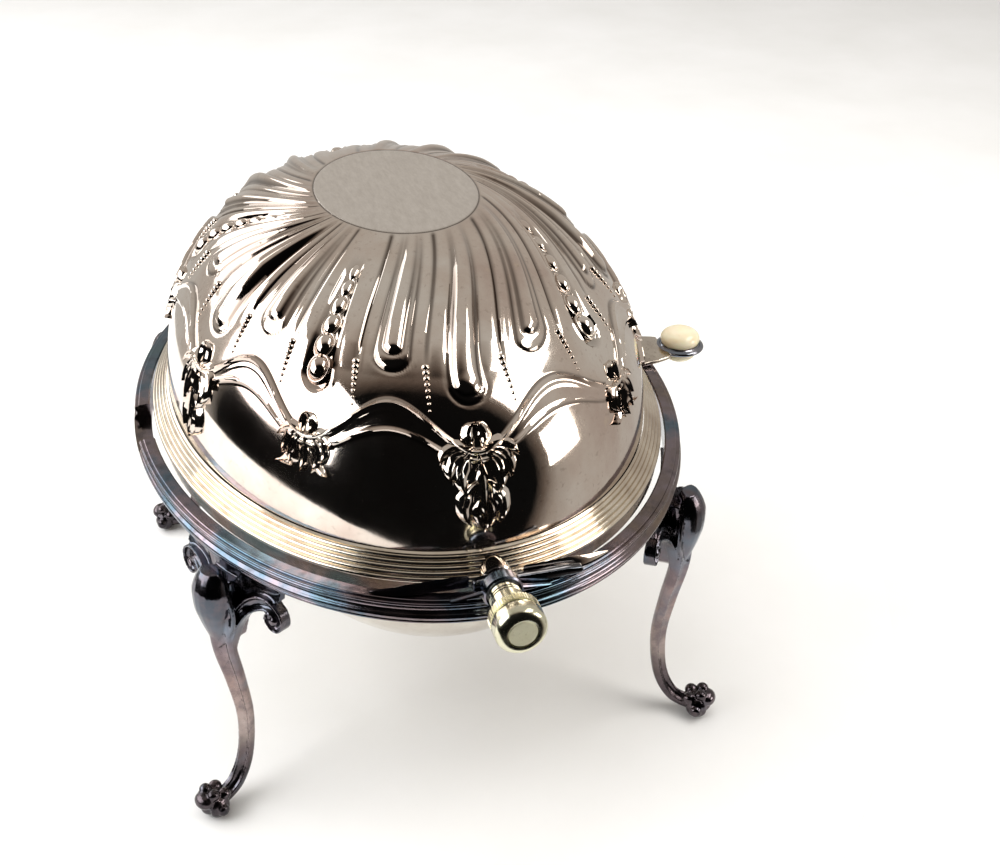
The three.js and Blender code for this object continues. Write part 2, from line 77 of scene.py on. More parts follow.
def add_node(tree, kind, **values):
    """A shader node with some of its properties set."""
    node = tree.nodes.new(kind)
    for key, value in values.items():
        setattr(node, key, value)
    return node


def object_noise(tree, scale, detail=4.0, roughness=0.55, stretch=(1, 1, 1)):
    """Noise that keeps its size on the piece, whatever the piece's own shape."""
    place = add_node(tree, "ShaderNodeTexCoord")
    mapping = add_node(tree, "ShaderNodeMapping")
    mapping.inputs["Scale"].default_value = stretch
    noise = add_node(tree, "ShaderNodeTexNoise")
    noise.inputs["Scale"].default_value = scale
    noise.inputs["Detail"].default_value = detail
    noise.inputs["Roughness"].default_value = roughness
    tree.links.new(place.outputs["Object"], mapping.inputs["Vector"])
    tree.links.new(mapping.outputs["Vector"], noise.inputs["Vector"])
    return noise.outputs["Fac"]


def ramp(tree, factor, stops, interpolation="LINEAR"):
    """A colour ramp through (position, colour) stops."""
    node = add_node(tree, "ShaderNodeValToRGB")
    node.color_ramp.interpolation = interpolation
    elements = node.color_ramp.elements
    while len(elements) < len(stops):
        elements.new(0.5)
    for element, (position, colour) in zip(elements, stops):
        element.position = position
        element.color = (*colour, 1) if len(colour) == 3 else colour
    tree.links.new(factor, node.inputs["Fac"])
    return node.outputs["Color"]


def grey(value):
    return (value, value, value)


def grey_ramp(tree, factor, low, high):
    """A ramp between two greys, each given as (position, value)."""
    return ramp(tree, factor, [(position, grey(value)) for position, value in (low, high)])


def mixed(tree, factor, first, second, blend="MIX"):
    """Two colours mixed, each a socket or a plain colour, by a socket or a plain share."""
    node = add_node(tree, "ShaderNodeMix", data_type="RGBA", blend_type=blend)
    for socket, value in ((node.inputs[0], factor), (node.inputs[6], first), (node.inputs[7], second)):
        if isinstance(value, bpy.types.NodeSocket):
            tree.links.new(value, socket)
        elif isinstance(value, tuple):
            socket.default_value = (*value, 1)
        else:
            socket.default_value = value
    return node.outputs[2]


def bumped(tree, shader, height, strength, distance):
    """Turns a height pattern into fine relief on the shader."""
    bump = add_node(tree, "ShaderNodeBump")
    bump.inputs["Strength"].default_value = strength
    bump.inputs["Distance"].default_value = distance
    tree.links.new(height, bump.inputs["Height"])
    tree.links.new(bump.outputs["Normal"], shader.inputs["Normal"])


table_material = bpy.data.materials.new("pale_table")
table_tree, table_shader = nodes_of(table_material)
table_tone = ramp(
    table_tree,
    object_noise(table_tree, 9, 6),
    ((0.3, (0.80, 0.80, 0.79)), (0.75, (0.86, 0.86, 0.86))),
)
table_tree.links.new(table_tone, table_shader.inputs["Base Color"])
table_shader.inputs["Roughness"].default_value = 0.6
bumped(table_tree, table_shader, object_noise(table_tree, 900, 3), 0.08, 0.0004)

# The silver mirrors the near sheet only; beyond it, it mirrors the dim room.
bpy.ops.mesh.primitive_circle_add(vertices=96, radius=0.40, fill_type="NGON", location=(0.10, 0.14, 0))
table_near = bpy.context.object
table_near.name = "table_top_near"
bpy.ops.mesh.primitive_plane_add(size=14, location=(0, 0, -0.0002))
table_far = bpy.context.object
table_far.name = "table_top_far"
table_far.visible_glossy = False
for sheet in (table_near, table_far):
    sheet.data.materials.append(table_material)


def soft_box(name, azimuth, elevation, distance, width, height, power, seen=True, colour=(1, 1, 1)):
    """A rectangular soft light that faces the dish from a direction given in degrees."""
    data = bpy.data.lights.new(name, "AREA")
    data.shape = "RECTANGLE"
    data.size = width
    data.size_y = height
    data.energy = power
    data.color = colour
    light = bpy.data.objects.new(name, data)
    bpy.context.scene.collection.objects.link(light)
    turn, lift = math.radians(azimuth), math.radians(elevation)
    away = Vector((math.cos(turn) * math.cos(lift), math.sin(turn) * math.cos(lift), math.sin(lift)))
    light.location = Vector((0, 0, 0.15)) + distance * away
    light.rotation_euler = away.to_track_quat("Z", "Y").to_euler()
    light.visible_camera = False
    light.visible_glossy = seen
    return light


soft_box("left_soft_box", 86, 27, 1.1, 1.25, 0.85, 16)
soft_box("right_window_low", -121, 11, 1.1, 0.40, 0.38, 3.2, colour=(1, 0.96, 0.9))
soft_box("right_window_high", -112, 49, 1.1, 0.75, 0.34, 5, colour=(1, 0.97, 0.93))
soft_box("far_panel", 34, 22, 1.4, 0.75, 0.7, 3.5)
soft_box("overhead", 30, 80, 1.6, 2.2, 2.2, 24, seen=False)


def room_light():
    """The tent as the silver mirrors it: a warm grey wall, dark on the near side of the table."""
    world = bpy.data.worlds.new("studio_tent")
    bpy.context.scene.world = world
    world.use_nodes = True
    tree = world.node_tree
    background = tree.nodes["Background"]
    direction = add_node(tree, "ShaderNodeTexCoord")

    def towards(x, y, z):
        """How nearly a reflected direction agrees with one given direction."""
        facing = add_node(tree, "ShaderNodeVectorMath", operation="DOT_PRODUCT")
        facing.inputs[1].default_value = (x, y, z)
        tree.links.new(direction.outputs["Generated"], facing.inputs[0])
        return facing.outputs["Value"]

    tent = ramp(
        tree,
        towards(-0.94, 0.34, 0.05),
        (
            (0.0, (0.56, 0.53, 0.49)),
            (0.22, (0.42, 0.38, 0.34)),
            (0.36, (0.15, 0.12, 0.10)),
            (0.45, grey(0.005)),
        ),
    )
    under_soft_box = grey_ramp(tree, towards(0.10, 0.97, -0.22), (0.82, 0), (0.90, 1))
    tent = mixed(tree, under_soft_box, tent, grey(0.006))
    camera_ray = add_node(tree, "ShaderNodeLightPath")
    shown = mixed(tree, camera_ray.outputs["Is Camera Ray"], tent, (0.93, 0.94, 0.96))
    tree.links.new(shown, background.inputs["Color"])
    background.inputs["Strength"].default_value = 1.0


room_light()

# ---------------------------------------------------------------- domed cover
# The cover is one sheet raised from silver-plated metal. Its crown is a plain oval plate, and from
# it swirled flutes and round-ended lobes are chased down to a wavy ribbon; the skirt is plain.
dome_low, dome_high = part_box("cover_shell")
DOME_LONG = dome_high.x
DOME_SHORT = dome_high.y
AXIS_Z = (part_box("knob_cap_left")[0].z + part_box("knob_cap_left")[1].z) / 2
DOME_FOOT = AXIS_Z + 5.9 * MM
DOME_RISE = 87.6 * MM
COVER_SHEET = 1.9 * MM
CROWN_TOP = dome_high.z
CROWN_EDGE = 0.332  # of the dome's own radius
STATIONS = (2, 39, 74, 109, 142, 179, 222, 254, 288, 322)  # leaf sprays round the dome, degrees
SPACING = 74.7 * MM  # between two sprays at the foot


def dome_height(rho):
    """Height of the smooth dome at a share of its radius."""
    full = DOME_FOOT + DOME_RISE * np.maximum(1 - np.minimum(rho, 1) ** 1.95, 0) ** 0.431
    return np.minimum(full, CROWN_TOP)


def dome_normal(turn, rho):
    """Unit normal of the smooth dome."""
    inner = np.clip(rho, 0.01, 0.9995)
    slope = -DOME_RISE * 0.431 * (1 - inner**1.95) ** -0.569 * 1.95 * inner**0.95
    slope = np.where(rho < CROWN_EDGE, 0, slope)
    normal = np.stack(
        [-slope * np.cos(turn) / DOME_LONG, -slope * np.sin(turn) / DOME_SHORT, np.ones_like(slope)], -1
    )
    return normal / np.linalg.norm(normal, axis=-1, keepdims=True)


def swirl(angle, rho):
    """How far the flutes lean round at some radius, in radians; they straighten towards the skirt."""
    lean = np.radians(24 - 18 * np.cos(2 * (angle - np.radians(135))))
    return lean * np.clip((0.80 - rho) / (0.80 - CROWN_EDGE), 0, 1) ** 1.5


def dome_point(angle, rho, lift=0.0, leaning=True):
    """A point on the dome, raised off it by some height, and the normal there."""
    turn = angle + (swirl(angle, rho) if leaning else 0)
    normal = dome_normal(turn, rho)
    place = np.stack(
        [DOME_LONG * rho * np.cos(turn), DOME_SHORT * rho * np.sin(turn), dome_height(rho)], -1
    )
    return place + normal * np.asarray(lift)[..., None], normal


def station_phase(angle):
    """Counts the leaf sprays round the dome: whole numbers at the sprays, halves between them."""
    around = [STATIONS[-1] - 360, *STATIONS, STATIONS[0] + 360, STATIONS[1] + 360]
    return np.interp(np.degrees(angle) % 360, around, range(-1, len(around) - 1))


def ribbon_edges(phase):
    """Radii of the ribbon's upper and lower edges: an arch between each two sprays."""
    arch = np.sin(np.pi * phase) ** 2
    return 0.930 - 0.083 * arch, 0.946 - 0.044 * arch


def round_lobe(across, to_end, half_width):
    """Distance in from the edge of a round-ended lobe, and its height as a share of a full round."""
    depth = half_width - np.hypot(across, np.maximum(half_width - to_end, 0))
    share = np.clip(depth / half_width, 0, 1)
    return depth, np.sqrt(1 - (1 - share) ** 2)


def wire(distance, width):
    """A rounded ridge along a line, at some distance from it."""
    return np.exp(-((distance / width) ** 2))


def chased_relief(phase, rho, from_end):
    """Height of the chasing above the smooth dome and how much tarnish lies in its hollows."""
    index = np.rint(phase).astype(int)
    nearest = phase - index
    middle = phase - np.floor(phase) - 0.5
    scale = SPACING * rho
    strength = np.clip((rho - CROWN_EDGE) / 0.30, 0, 1) ** 0.7
    outside = np.clip((rho - CROWN_EDGE) / 0.02, 0, 1)
    fade = np.clip((0.80 - rho) / 0.07, 0, 1) * outside
    taper = (rho / 0.82) ** 1.45

    # Plain cushions between the creases that end in rows of beads.
    height = np.zeros_like(rho)
    hollow = np.zeros_like(rho)
    for start, end in ((-0.26, -0.11), (-0.11, 0.11), (0.11, 0.26)):
        share = np.clip((nearest - start) / (end - start), 0, 1)
        height += 0.9 * MM * strength * fade * (4 * share * (1 - share)) ** 0.6
    share = np.clip((middle + 0.24) / 0.48, 0, 1)
    height += 0.5 * MM * strength * fade * (4 * share * (1 - share)) ** 0.6

    crease = (np.abs(nearest) - 0.26) * scale
    height -= 0.55 * MM * strength * fade * wire(crease, 0.55 * MM)
    height += 0.45 * MM * strength * fade * wire(crease - 1.1 * MM, 0.6 * MM)
    hollow = np.maximum(hollow, fade * wire(crease, 0.7 * MM))

    # Nested lobes midway between the sprays, and one long lobe above every other spray.
    odd = index % 2 == 1
    everywhere = np.ones_like(odd)
    for across, belongs, end, width, rise in (
        (middle, everywhere, 0.782, 7.4 * MM, 1.0 * MM),
        (middle, everywhere, 0.745, 3.7 * MM, 1.3 * MM),
        (nearest, odd, 0.852, 6.3 * MM, 0.9 * MM),
        (nearest, odd, 0.838, 4.6 * MM, 1.5 * MM),
    ):
        depth, bulge = round_lobe(across * scale, from_end(end), width * taper)
        here = belongs * strength
        height += here * rise * bulge
        height += here * 0.32 * MM * wire(depth, 0.5 * MM)
        height -= here * 0.30 * MM * wire(depth + 1.1 * MM, 0.6 * MM)
        hollow = np.maximum(hollow, here * wire(depth + 0.5 * MM, 0.7 * MM))

    # A sunk channel above the other sprays, which a chain of oval bosses fills.
    depth, bulge = round_lobe(nearest * scale, from_end(0.862), 6.6 * MM * taper)
    here = (1 - odd) * np.clip((rho - 0.45) / 0.1, 0, 1)
    height -= here * 1.5 * MM * np.clip(bulge * 1.2, 0, 1)
    height += here * 0.45 * MM * wire(depth, 0.7 * MM)
    hollow = np.maximum(hollow, here * 0.5 * bulge)

    # The engraved edge of the crown plate.
    edge = (rho - CROWN_EDGE) * DOME_LONG
    height -= 0.35 * MM * wire(edge, 0.5 * MM)
    hollow = np.maximum(hollow, wire(edge, 0.45 * MM))

    # The ribbon: two rolled edges with a hollow band between them.
    upper, lower = ribbon_edges(phase)
    above = -from_end(upper)
    below = from_end(lower)
    band = np.clip(above / (0.8 * MM), 0, 1) * np.clip(below / (0.8 * MM), 0, 1)
    height += 0.55 * MM * band
    height += 1.35 * MM * wire(above - 0.9 * MM, 1.0 * MM)
    height += 0.80 * MM * wire(below - 0.5 * MM, 0.75 * MM)
    height += 0.45 * MM * wire(above - 3.4 * MM, 0.7 * MM) * np.clip(lower - upper - 0.03, 0, 0.02) / 0.02
    hollow = np.maximum(hollow, 0.8 * wire(above + 0.7 * MM, 0.6 * MM))
    hollow = np.maximum(hollow, 0.7 * wire(below + 0.7 * MM, 0.5 * MM))
    return height, hollow


def new_piece(name, points, faces):
    """A mesh object made of points and faces."""
    mesh = bpy.data.meshes.new(name)
    mesh.from_pydata(points, [], faces)
    piece = bpy.data.objects.new(name, mesh)
    bpy.context.scene.collection.objects.link(piece)
    return piece


def raise_dome():
    """The cover's sheet: chased outside, smooth inside, with its edge standing on the pivots' level."""
    columns = 560
    angle = np.linspace(0, 2 * np.pi, columns, endpoint=False)
    phase = station_phase(angle)
    upper, lower = ribbon_edges(phase)

    def rows_between(first, last, count, power=1.0):
        """Rows of radii from one to another, closer together at the end where a power is given."""
        shares = 1 - (1 - np.linspace(0, 1, count)) ** power
        return [np.broadcast_to(first + (last - first) * share, columns) for share in shares]

    rho = np.stack(
        [
            *rows_between(0.03 * (CROWN_EDGE - 0.02), CROWN_EDGE - 0.02, 7),
            *rows_between(CROWN_EDGE - 0.014, CROWN_EDGE + 0.014, 7),
            *rows_between(CROWN_EDGE + 0.02, upper - 0.008, 112),
            *rows_between(upper - 0.006, lower + 0.006, 17),
            *rows_between(lower + 0.008, 1, 12, 2.4),
        ]
    )
    angle = np.broadcast_to(angle, rho.shape)
    phase = np.broadcast_to(phase, rho.shape)

    # Distance along the dome from its top, for each direction from the centre.
    reach = np.hypot(DOME_LONG * np.cos(angle[0]), DOME_SHORT * np.sin(angle[0]))
    table = np.linspace(0, 1, 600)
    rise = np.diff(dome_height(table))
    steps = np.hypot(np.diff(table)[:, None] * reach, rise[:, None])
    length = np.vstack([np.zeros(columns), np.cumsum(steps, 0)])

    def travelled(share):
        share = np.broadcast_to(share, rho.shape)
        return np.stack([np.interp(share[:, j], table, length[:, j]) for j in range(columns)], 1)

    here = travelled(rho)
    height, hollow = chased_relief(phase, rho, lambda end: travelled(end) - here)
    outer, normal = dome_point(angle, rho, height)
    plumb = outer[-1] * (1, 1, 0) + (0, 0, dome_low.z)
    outer = np.concatenate([outer, plumb[None]])
    hollow = np.concatenate([hollow, hollow[-1:]])

    # The inner wall follows the smooth dome, one sheet's thickness in.
    inner_radii = (1.0, 0.999, 0.99, 0.97, 0.93, 0.87, 0.78, 0.66, 0.5, 0.33, 0.15, 0.02)
    inner_rows = np.stack([np.full(columns, radius) for radius in inner_radii])
    inner, _ = dome_point(np.broadcast_to(angle[0], inner_rows.shape), inner_rows, -COVER_SHEET)
    inner_foot = inner[0] * (1, 1, 0) + (0, 0, dome_low.z)
    layers = np.concatenate([outer, inner_foot[None], inner])
    count = len(layers)
    points = layers.reshape(-1, 3)
    i, j = np.meshgrid(range(count - 1), range(columns), indexing="ij")
    k = (j + 1) % columns
    quads = np.stack([i * columns + j, (i + 1) * columns + j, (i + 1) * columns + k, i * columns + k], -1)
    faces = [tuple(map(int, quad)) for quad in quads.reshape(-1, 4)]
    faces.append(tuple(range(columns)))
    faces.append(tuple(reversed(range((count - 1) * columns, count * columns))))
    piece = new_piece("cover_dome", points.tolist(), faces)
    crown_plate = np.clip((CROWN_EDGE - rho) / 0.004 + 0.5, 0, 1)
    for label, values in (("hollow", hollow), ("crown_plate", crown_plate)):
        shares = np.zeros(len(points))
        shares[: values.size] = values.ravel()
        piece.data.attributes.new(label, "FLOAT", "POINT").data.foreach_set("value", shares)
    return piece


def attribute(tree, name):
    """A value that the mesh itself carries from point to point."""
    return add_node(tree, "ShaderNodeAttribute", attribute_name=name).outputs["Fac"]


def new_metal(name):
    """A new metal with its node tree and its surface shader."""
    material = bpy.data.materials.new(name)
    tree, shader = nodes_of(material)
    shader.inputs["Metallic"].default_value = 1
    return material, tree, shader


def cover_silver(name, chased):
    """Polished plate with a warm bloom of tarnish, grey on the crown and dark in the hollows."""
    material, tree, shader = new_metal(name)
    bloom = ramp(
        tree,
        object_noise(tree, 26, 7, 0.62),
        (
            (0.36, (0.74, 0.68, 0.62)),
            (0.52, (0.66, 0.57, 0.50)),
            (0.66, (0.58, 0.47, 0.41)),
            (0.78, (0.70, 0.58, 0.44)),
        ),
    )
    specks = grey_ramp(tree, object_noise(tree, 420, 3), (0.60, 0), (0.72, 0.35))
    colour = mixed(tree, specks, bloom, (0.34, 0.27, 0.22))
    rough = grey_ramp(tree, object_noise(tree, 34, 6), (0.35, 0.045), (0.75, 0.13))
    if chased:
        plate = attribute(tree, "crown_plate")
        scratches = object_noise(tree, 160, 8, 0.7, (1, 3.2, 1))
        worn = ramp(tree, scratches, ((0.35, (0.66, 0.61, 0.56)), (0.7, (0.80, 0.75, 0.70))))
        colour = mixed(tree, plate, colour, worn)
        colour = mixed(tree, attribute(tree, "hollow"), colour, (0.10, 0.075, 0.06))
        rough = mixed(tree, plate, rough, grey(0.31))
    tree.links.new(colour, shader.inputs["Base Color"])
    tree.links.new(rough, shader.inputs["Roughness"])
    bumped(tree, shader, object_noise(tree, 60, 5), 0.05, 0.0012)
    return material


def pick(piece):
    """Selects one piece alone, so that operators work on it."""
    bpy.ops.object.select_all(action="DESELECT")
    bpy.context.view_layer.objects.active = piece
    piece.select_set(True)


def apply_modifier(piece, modifier):
    pick(piece)
    bpy.ops.object.modifier_apply(modifier=modifier.name)


def fit(piece, hard_angle, material, body, slot, *nodes):
    """Shades a piece smooth but for its hard edges and fixes it to the body that it belongs to."""
    pick(piece)
    bpy.ops.object.shade_smooth_by_angle(angle=math.radians(hard_angle))
    piece.data.materials.clear()
    piece.data.materials.append(material)
    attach(piece, body)
    if nodes:
        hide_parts(*nodes)


chased_silver = cover_silver("chased_silver", True)
plain_silver = cover_silver("plain_silver", False)
dome = raise_dome()
fit(dome, 60, chased_silver, "cover", "silver_cover", "cover_shell")

# ---------------------------------------------------------------- beads and bosses
# Rows of graduated beads end the creases, and chains of oval bosses fill the sunk channels. On the
# real cover they are punched up from inside in the same sheet.


def phase_angle(phase):
    """The direction, in radians, that a count of leaf sprays stands for."""
    around = [STATIONS[-1] - 360, *STATIONS, STATIONS[0] + 360, STATIONS[1] + 360]
    return np.radians(np.interp(phase, range(-1, len(around) - 1), around))


def dome_frame(phase, rho, leaning=True):
    """A place on the dome and its directions: across, down along the flutes, and out."""
    angle = phase_angle(phase)
    place, normal = dome_point(angle, np.float64(rho), 0.0, leaning)
    ahead, _ = dome_point(angle, np.float64(rho + 0.004), 0.0, leaning)
    down = Vector(ahead - place).normalized()
    out = Vector(normal)
    across = down.cross(out).normalized()
    return Vector(place), across, out.cross(across), out


def copies(name, model, frames):
    """One mesh of many copies of a small model, each in its own frame: a place and three axes."""
    points, faces = [], []
    for place, *axes in frames:
        start = len(points)
        for vertex in model.data.vertices:
            points.append(place + sum((axis * c for axis, c in zip(axes, vertex.co)), Vector()))
        faces += [tuple(start + v for v in face.vertices) for face in model.data.polygons]
    piece = new_piece(name, points, faces)
    bpy.data.objects.remove(model)
    tidy_normals(piece)
    return piece


def edit(piece, action):
    """Runs mesh operators on the whole of one piece in edit mode."""
    pick(piece)
    bpy.ops.object.mode_set(mode="EDIT")
    bpy.ops.mesh.select_all(action="SELECT")
    action()
    bpy.ops.object.mode_set(mode="OBJECT")


def tidy_normals(piece):
    """Joins doubled points and turns every face outwards."""

    def clean():
        bpy.ops.mesh.remove_doubles(threshold=1e-7)
        bpy.ops.mesh.normals_make_consistent(inside=False)

    edit(piece, clean)


def bead_frames():
    for station in range(len(STATIONS)):
        for side in (-0.26, 0.26):
            for row in range(8):
                place, across, down, out = dome_frame(station + side, 0.775 + 0.0128 * row, False)
                radius = (1.45 - 0.125 * row) * MM
                yield place, across * radius, down * radius, out * radius


def boss_frames(width_extra, height_share):
    for station in range(0, len(STATIONS), 2):
        for row in range(7):
            rho = 0.455 + 0.061 * row - 0.00005 * row**3
            place, across, down, out = dome_frame(station, rho)
            width = (1.5 + 0.36 * row + width_extra) * MM
            length = (4.0 + 0.12 * row + width_extra) * MM
            yield place - out * 0.9 * MM, across * width, down * length, out * height_share * width


bpy.ops.mesh.primitive_ico_sphere_add(subdivisions=2, radius=1)
beads = copies("cover_beads", bpy.context.object, bead_frames())
fit(beads, 80, plain_silver, "cover", "silver_cover")

bpy.ops.mesh.primitive_uv_sphere_add(segments=20, ring_count=12, radius=1)
bosses = copies("cover_bosses", bpy.context.object, boss_frames(0.0, 0.85))
fit(bosses, 80, plain_silver, "cover", "silver_cover")

bpy.ops.mesh.primitive_torus_add(major_segments=28, minor_segments=8, major_radius=1, minor_radius=0.12)
boss_rings = copies("cover_boss_rings", bpy.context.object, boss_frames(0.45, 1.2))
fit(boss_rings, 80, plain_silver, "cover", "silver_cover")

# ---------------------------------------------------------------- leaf sprays
# Ten sprays of acanthus leaf hang where the ribbon dips, each a group of curled, veined fronds
# chased in high relief. Every other spray is longer, with a pointed tip.


def loft(rings):
    """Points and faces of a closed form through rings of equally many points."""
    count = len(rings[0])
    points = [tuple(point) for ring in rings for point in ring]
    faces = [tuple(reversed(range(count)))]
    for i in range(len(rings) - 1):
        for j in range(count):
            k = (j + 1) % count
            faces.append((i * count + j, i * count + k, (i + 1) * count + k, (i + 1) * count + j))
    faces.append(tuple(range(len(points) - count, len(points))))
    return points, faces


def solid_piece(name, forms):
    """One piece from several closed forms."""
    points, faces = [], []
    for form_points, form_faces in forms:
        start = len(points)
        points += form_points
        faces += [tuple(start + v for v in face) for face in form_faces]
    piece = new_piece(name, points, faces)
    tidy_normals(piece)
    return piece


def on_dome(station, rho, across, down, lift):
    """A point found by going across and down the dome from a spray's own anchor."""
    angle = float(phase_angle(station))
    reach = math.hypot(DOME_LONG * math.cos(angle), DOME_SHORT * math.sin(angle))
    table = np.linspace(0.6, 1, 400)
    length = np.concatenate([[0], np.cumsum(np.hypot(np.diff(table) * reach, np.diff(dome_height(table))))])
    share = np.interp(np.interp(rho, table, length) + down, length, table)
    radius = share * math.hypot(DOME_LONG * math.sin(angle), DOME_SHORT * math.cos(angle))
    place, _ = dome_point(angle + across / radius, np.float64(share), lift, False)
    return place


def frond(station, rho, start, heading, length, width, curl, rise):
    """A tapering leaf that curls in its own plane, domed and veined, with its tip rolled up."""
    steps, sides = 13, 9
    rings = []
    across, down = start
    for i in range(steps):
        share = i / (steps - 1)
        way = math.radians(heading) + curl * share**1.6
        if i:
            across += math.sin(way) * length / (steps - 1)
            down += math.cos(way) * length / (steps - 1)
        half = width * max(0.08, math.sin(math.pi * min(1, 0.12 + 0.88 * share) ** 1.15))
        half *= 1 + 0.10 * math.cos(5 * math.pi * share)
        ring = []
        for j in range(sides):
            c = 2 * j / (sides - 1) - 1
            vein = 0.22 * math.cos(3 * math.pi * c)
            lift = rise * ((1 - c * c) ** 0.5 * (0.70 - vein) + 0.40 * share**3) - 0.3 * MM
            ring.append((across + math.cos(way) * c * half, down - math.sin(way) * c * half, lift))
        for j in reversed(range(1, sides - 1)):
            ring.append((ring[j][0], ring[j][1], -0.8 * MM))
        rings.append([on_dome(station, rho, x, y, z) for x, y, z in ring])
    return loft(rings)


def leaf_spray(station):
    """The fronds of one spray: a knot on the ribbon, two curled sides and the hanging leaves."""
    long_one = station % 2 == 1
    scale = 1.25 if long_one else 1.0
    fronds = []
    for hand in (-1, 1):
        for heading, length, width, curl in (
            (150, 8.5, 2.3, 1.8),
            (108, 12.0, 2.5, -1.6),
            (78, 13.5, 2.9, -1.7),
            (46, 14.5, 2.8, -1.3),
        ):
            fronds.append(((hand * 1.2, -1.5), hand * heading, length, width, hand * curl))
        if long_one:
            fronds.append(((hand * 1.4, 8.0), hand * 50, 14.0, 2.7, hand * -1.6))
            fronds.append(((hand * 0.8, 12.0), hand * 22, 11.0, 2.4, hand * -1.2))
        else:
            fronds.append(((hand * 2.6, 3.4), hand * 18, 12.5, 2.7, hand * 1.2))
    fronds.append(((0, 0), 0, 20.0 if long_one else 12.5, 2.3, 0.0))
    return [
        frond(
            station, 0.935, (x * scale * MM, y * scale * MM), heading,
            length * scale * MM, width * scale * MM, curl, 2.2 * MM,
        )
        for (x, y), heading, length, width, curl in fronds
    ]


for station in range(len(STATIONS)):
    spray = solid_piece(f"leaf_spray_{station + 1}", leaf_spray(station))
    fit(spray, 70, plain_silver, "cover", "silver_cover")

# ---------------------------------------------------------------- reeded border of the cover
# A spun moulding of stepped reeds, soldered round the foot of the dome. It is worn brighter and
# creamier than the rest.
border_low, border_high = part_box("cover_border")
OVAL_EXTRA = DOME_LONG - DOME_SHORT


def arc(centre, radius, start, end, steps):
    """Points of an arc in the plane of a section, angles in degrees."""
    turns = [math.radians(start + (end - start) * i / steps) for i in range(steps + 1)]
    return [(centre[0] + radius * math.cos(t), centre[1] + radius * math.sin(t)) for t in turns]


def spun(name, outline, centre=(0, 0, 0), axis=(0, 0, 1), steps=64):
    """A closed outline turned a full round about an axis."""
    bpy.ops.mesh.primitive_circle_add(vertices=len(outline))
    piece = bpy.context.object
    piece.name = name
    for vertex, place in zip(piece.data.vertices, outline):
        vertex.co = place

    def turn():
        bpy.ops.mesh.spin(steps=steps, angle=2 * math.pi, center=centre, axis=axis)
        bpy.ops.mesh.select_all(action="SELECT")
        bpy.ops.mesh.remove_doubles(threshold=1e-6)
        bpy.ops.mesh.delete_loose()
        bpy.ops.mesh.select_all(action="SELECT")
        bpy.ops.mesh.normals_make_consistent(inside=False)

    edit(piece, turn)
    return piece


def oval_ring(name, section, extra, steps=240):
    """A moulding round the oval: its section is (distance from the long axis, height)."""
    ring = spun(name, [(0, -out, up) for out, up in section], steps=steps)
    for vertex in ring.data.vertices:
        radius = math.hypot(vertex.co.x, vertex.co.y)
        vertex.co.x += extra * vertex.co.x / radius
    return ring


def border_section():
    inner = DOME_SHORT + 0.3 * MM
    bottom = border_low.z
    reach = border_high.y
    section = [(inner, bottom), (reach - 2.2 * MM, bottom), (reach - 2.0 * MM, bottom - 5.2 * MM)]
    section += [(reach - 1.0 * MM, bottom - 5.2 * MM), (reach - 0.8 * MM, bottom), (reach - 0.7 * MM, bottom)]
    reeds = 5
    for i in range(reeds):
        centre = (reach - (1.0 + 1.35 * i) * MM, bottom + (1.0 + 1.42 * i) * MM)
        section += arc(centre, 0.98 * MM, -65 if i == 0 else -35, 118, 7)
    section += [(inner + 0.9 * MM, border_high.z - 0.5 * MM), (inner, border_high.z)]
    return section


border = oval_ring("border_reeding", border_section(), OVAL_EXTRA)


def cut_away(piece, cutter):
    """Cuts one closed mesh out of another and throws the cutter away."""
    cut = piece.modifiers.new("cut", "BOOLEAN")
    cut.operation = "DIFFERENCE"
    cut.solver = "EXACT"
    cut.object = cutter
    apply_modifier(piece, cut)
    bpy.data.objects.remove(cutter)


def bore(piece, radius, centre, length, vertices=48):
    """Bores a round hole along the pivots' axis."""
    bpy.ops.mesh.primitive_cylinder_add(
        vertices=vertices,
        radius=radius,
        depth=length,
        location=(centre, 0, AXIS_Z),
        rotation=(0, math.pi / 2, 0),
    )
    cut_away(piece, bpy.context.object)


def bore_both_ends(piece, radius, start, end):
    for side in (-1, 1):
        bore(piece, radius, side * (start + end) / 2, end - start)


# The border is open where the ears of the cover pass through it.
ear_low, ear_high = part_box("cover_ear_right")
ear_radius = (ear_high.z - ear_low.z) / 2
bore_both_ends(border, ear_radius + 0.3 * MM, 120 * MM, 160 * MM)


def border_silver():
    """Cream-bright silver, brown where the polish has missed between the reeds."""
    material, tree, shader = new_metal("border_silver")
    tone = ramp(
        tree,
        object_noise(tree, 18, 6, 0.6),
        (
            (0.34, (0.84, 0.80, 0.70)),
            (0.52, (0.72, 0.64, 0.53)),
            (0.68, (0.50, 0.41, 0.33)),
            (0.8, (0.62, 0.52, 0.42)),
        ),
    )
    streak = grey_ramp(tree, object_noise(tree, 150, 4, 0.6, (0.3, 0.3, 3)), (0.5, 0), (0.75, 0.5))
    tree.links.new(mixed(tree, streak, tone, (0.36, 0.28, 0.2)), shader.inputs["Base Color"])
    rough = grey_ramp(tree, object_noise(tree, 60, 5), (0.35, 0.07), (0.75, 0.2))
    tree.links.new(rough, shader.inputs["Roughness"])
    bumped(tree, shader, object_noise(tree, 300, 4), 0.08, 0.0004)
    return material


fit(border, 30, border_silver(), "cover", "silver_cover", "cover_border")

# ---------------------------------------------------------------- oval frame
# A heavy cast moulding with a flat top, a cove, a fillet and a round torus below. It is hardly
# polished, so the plate has gone brown, mauve and steel blue. A notch at the back takes the handle.
rim_low, rim_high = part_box("frame_rim")
RIM_EXTRA = rim_high.x - rim_high.y


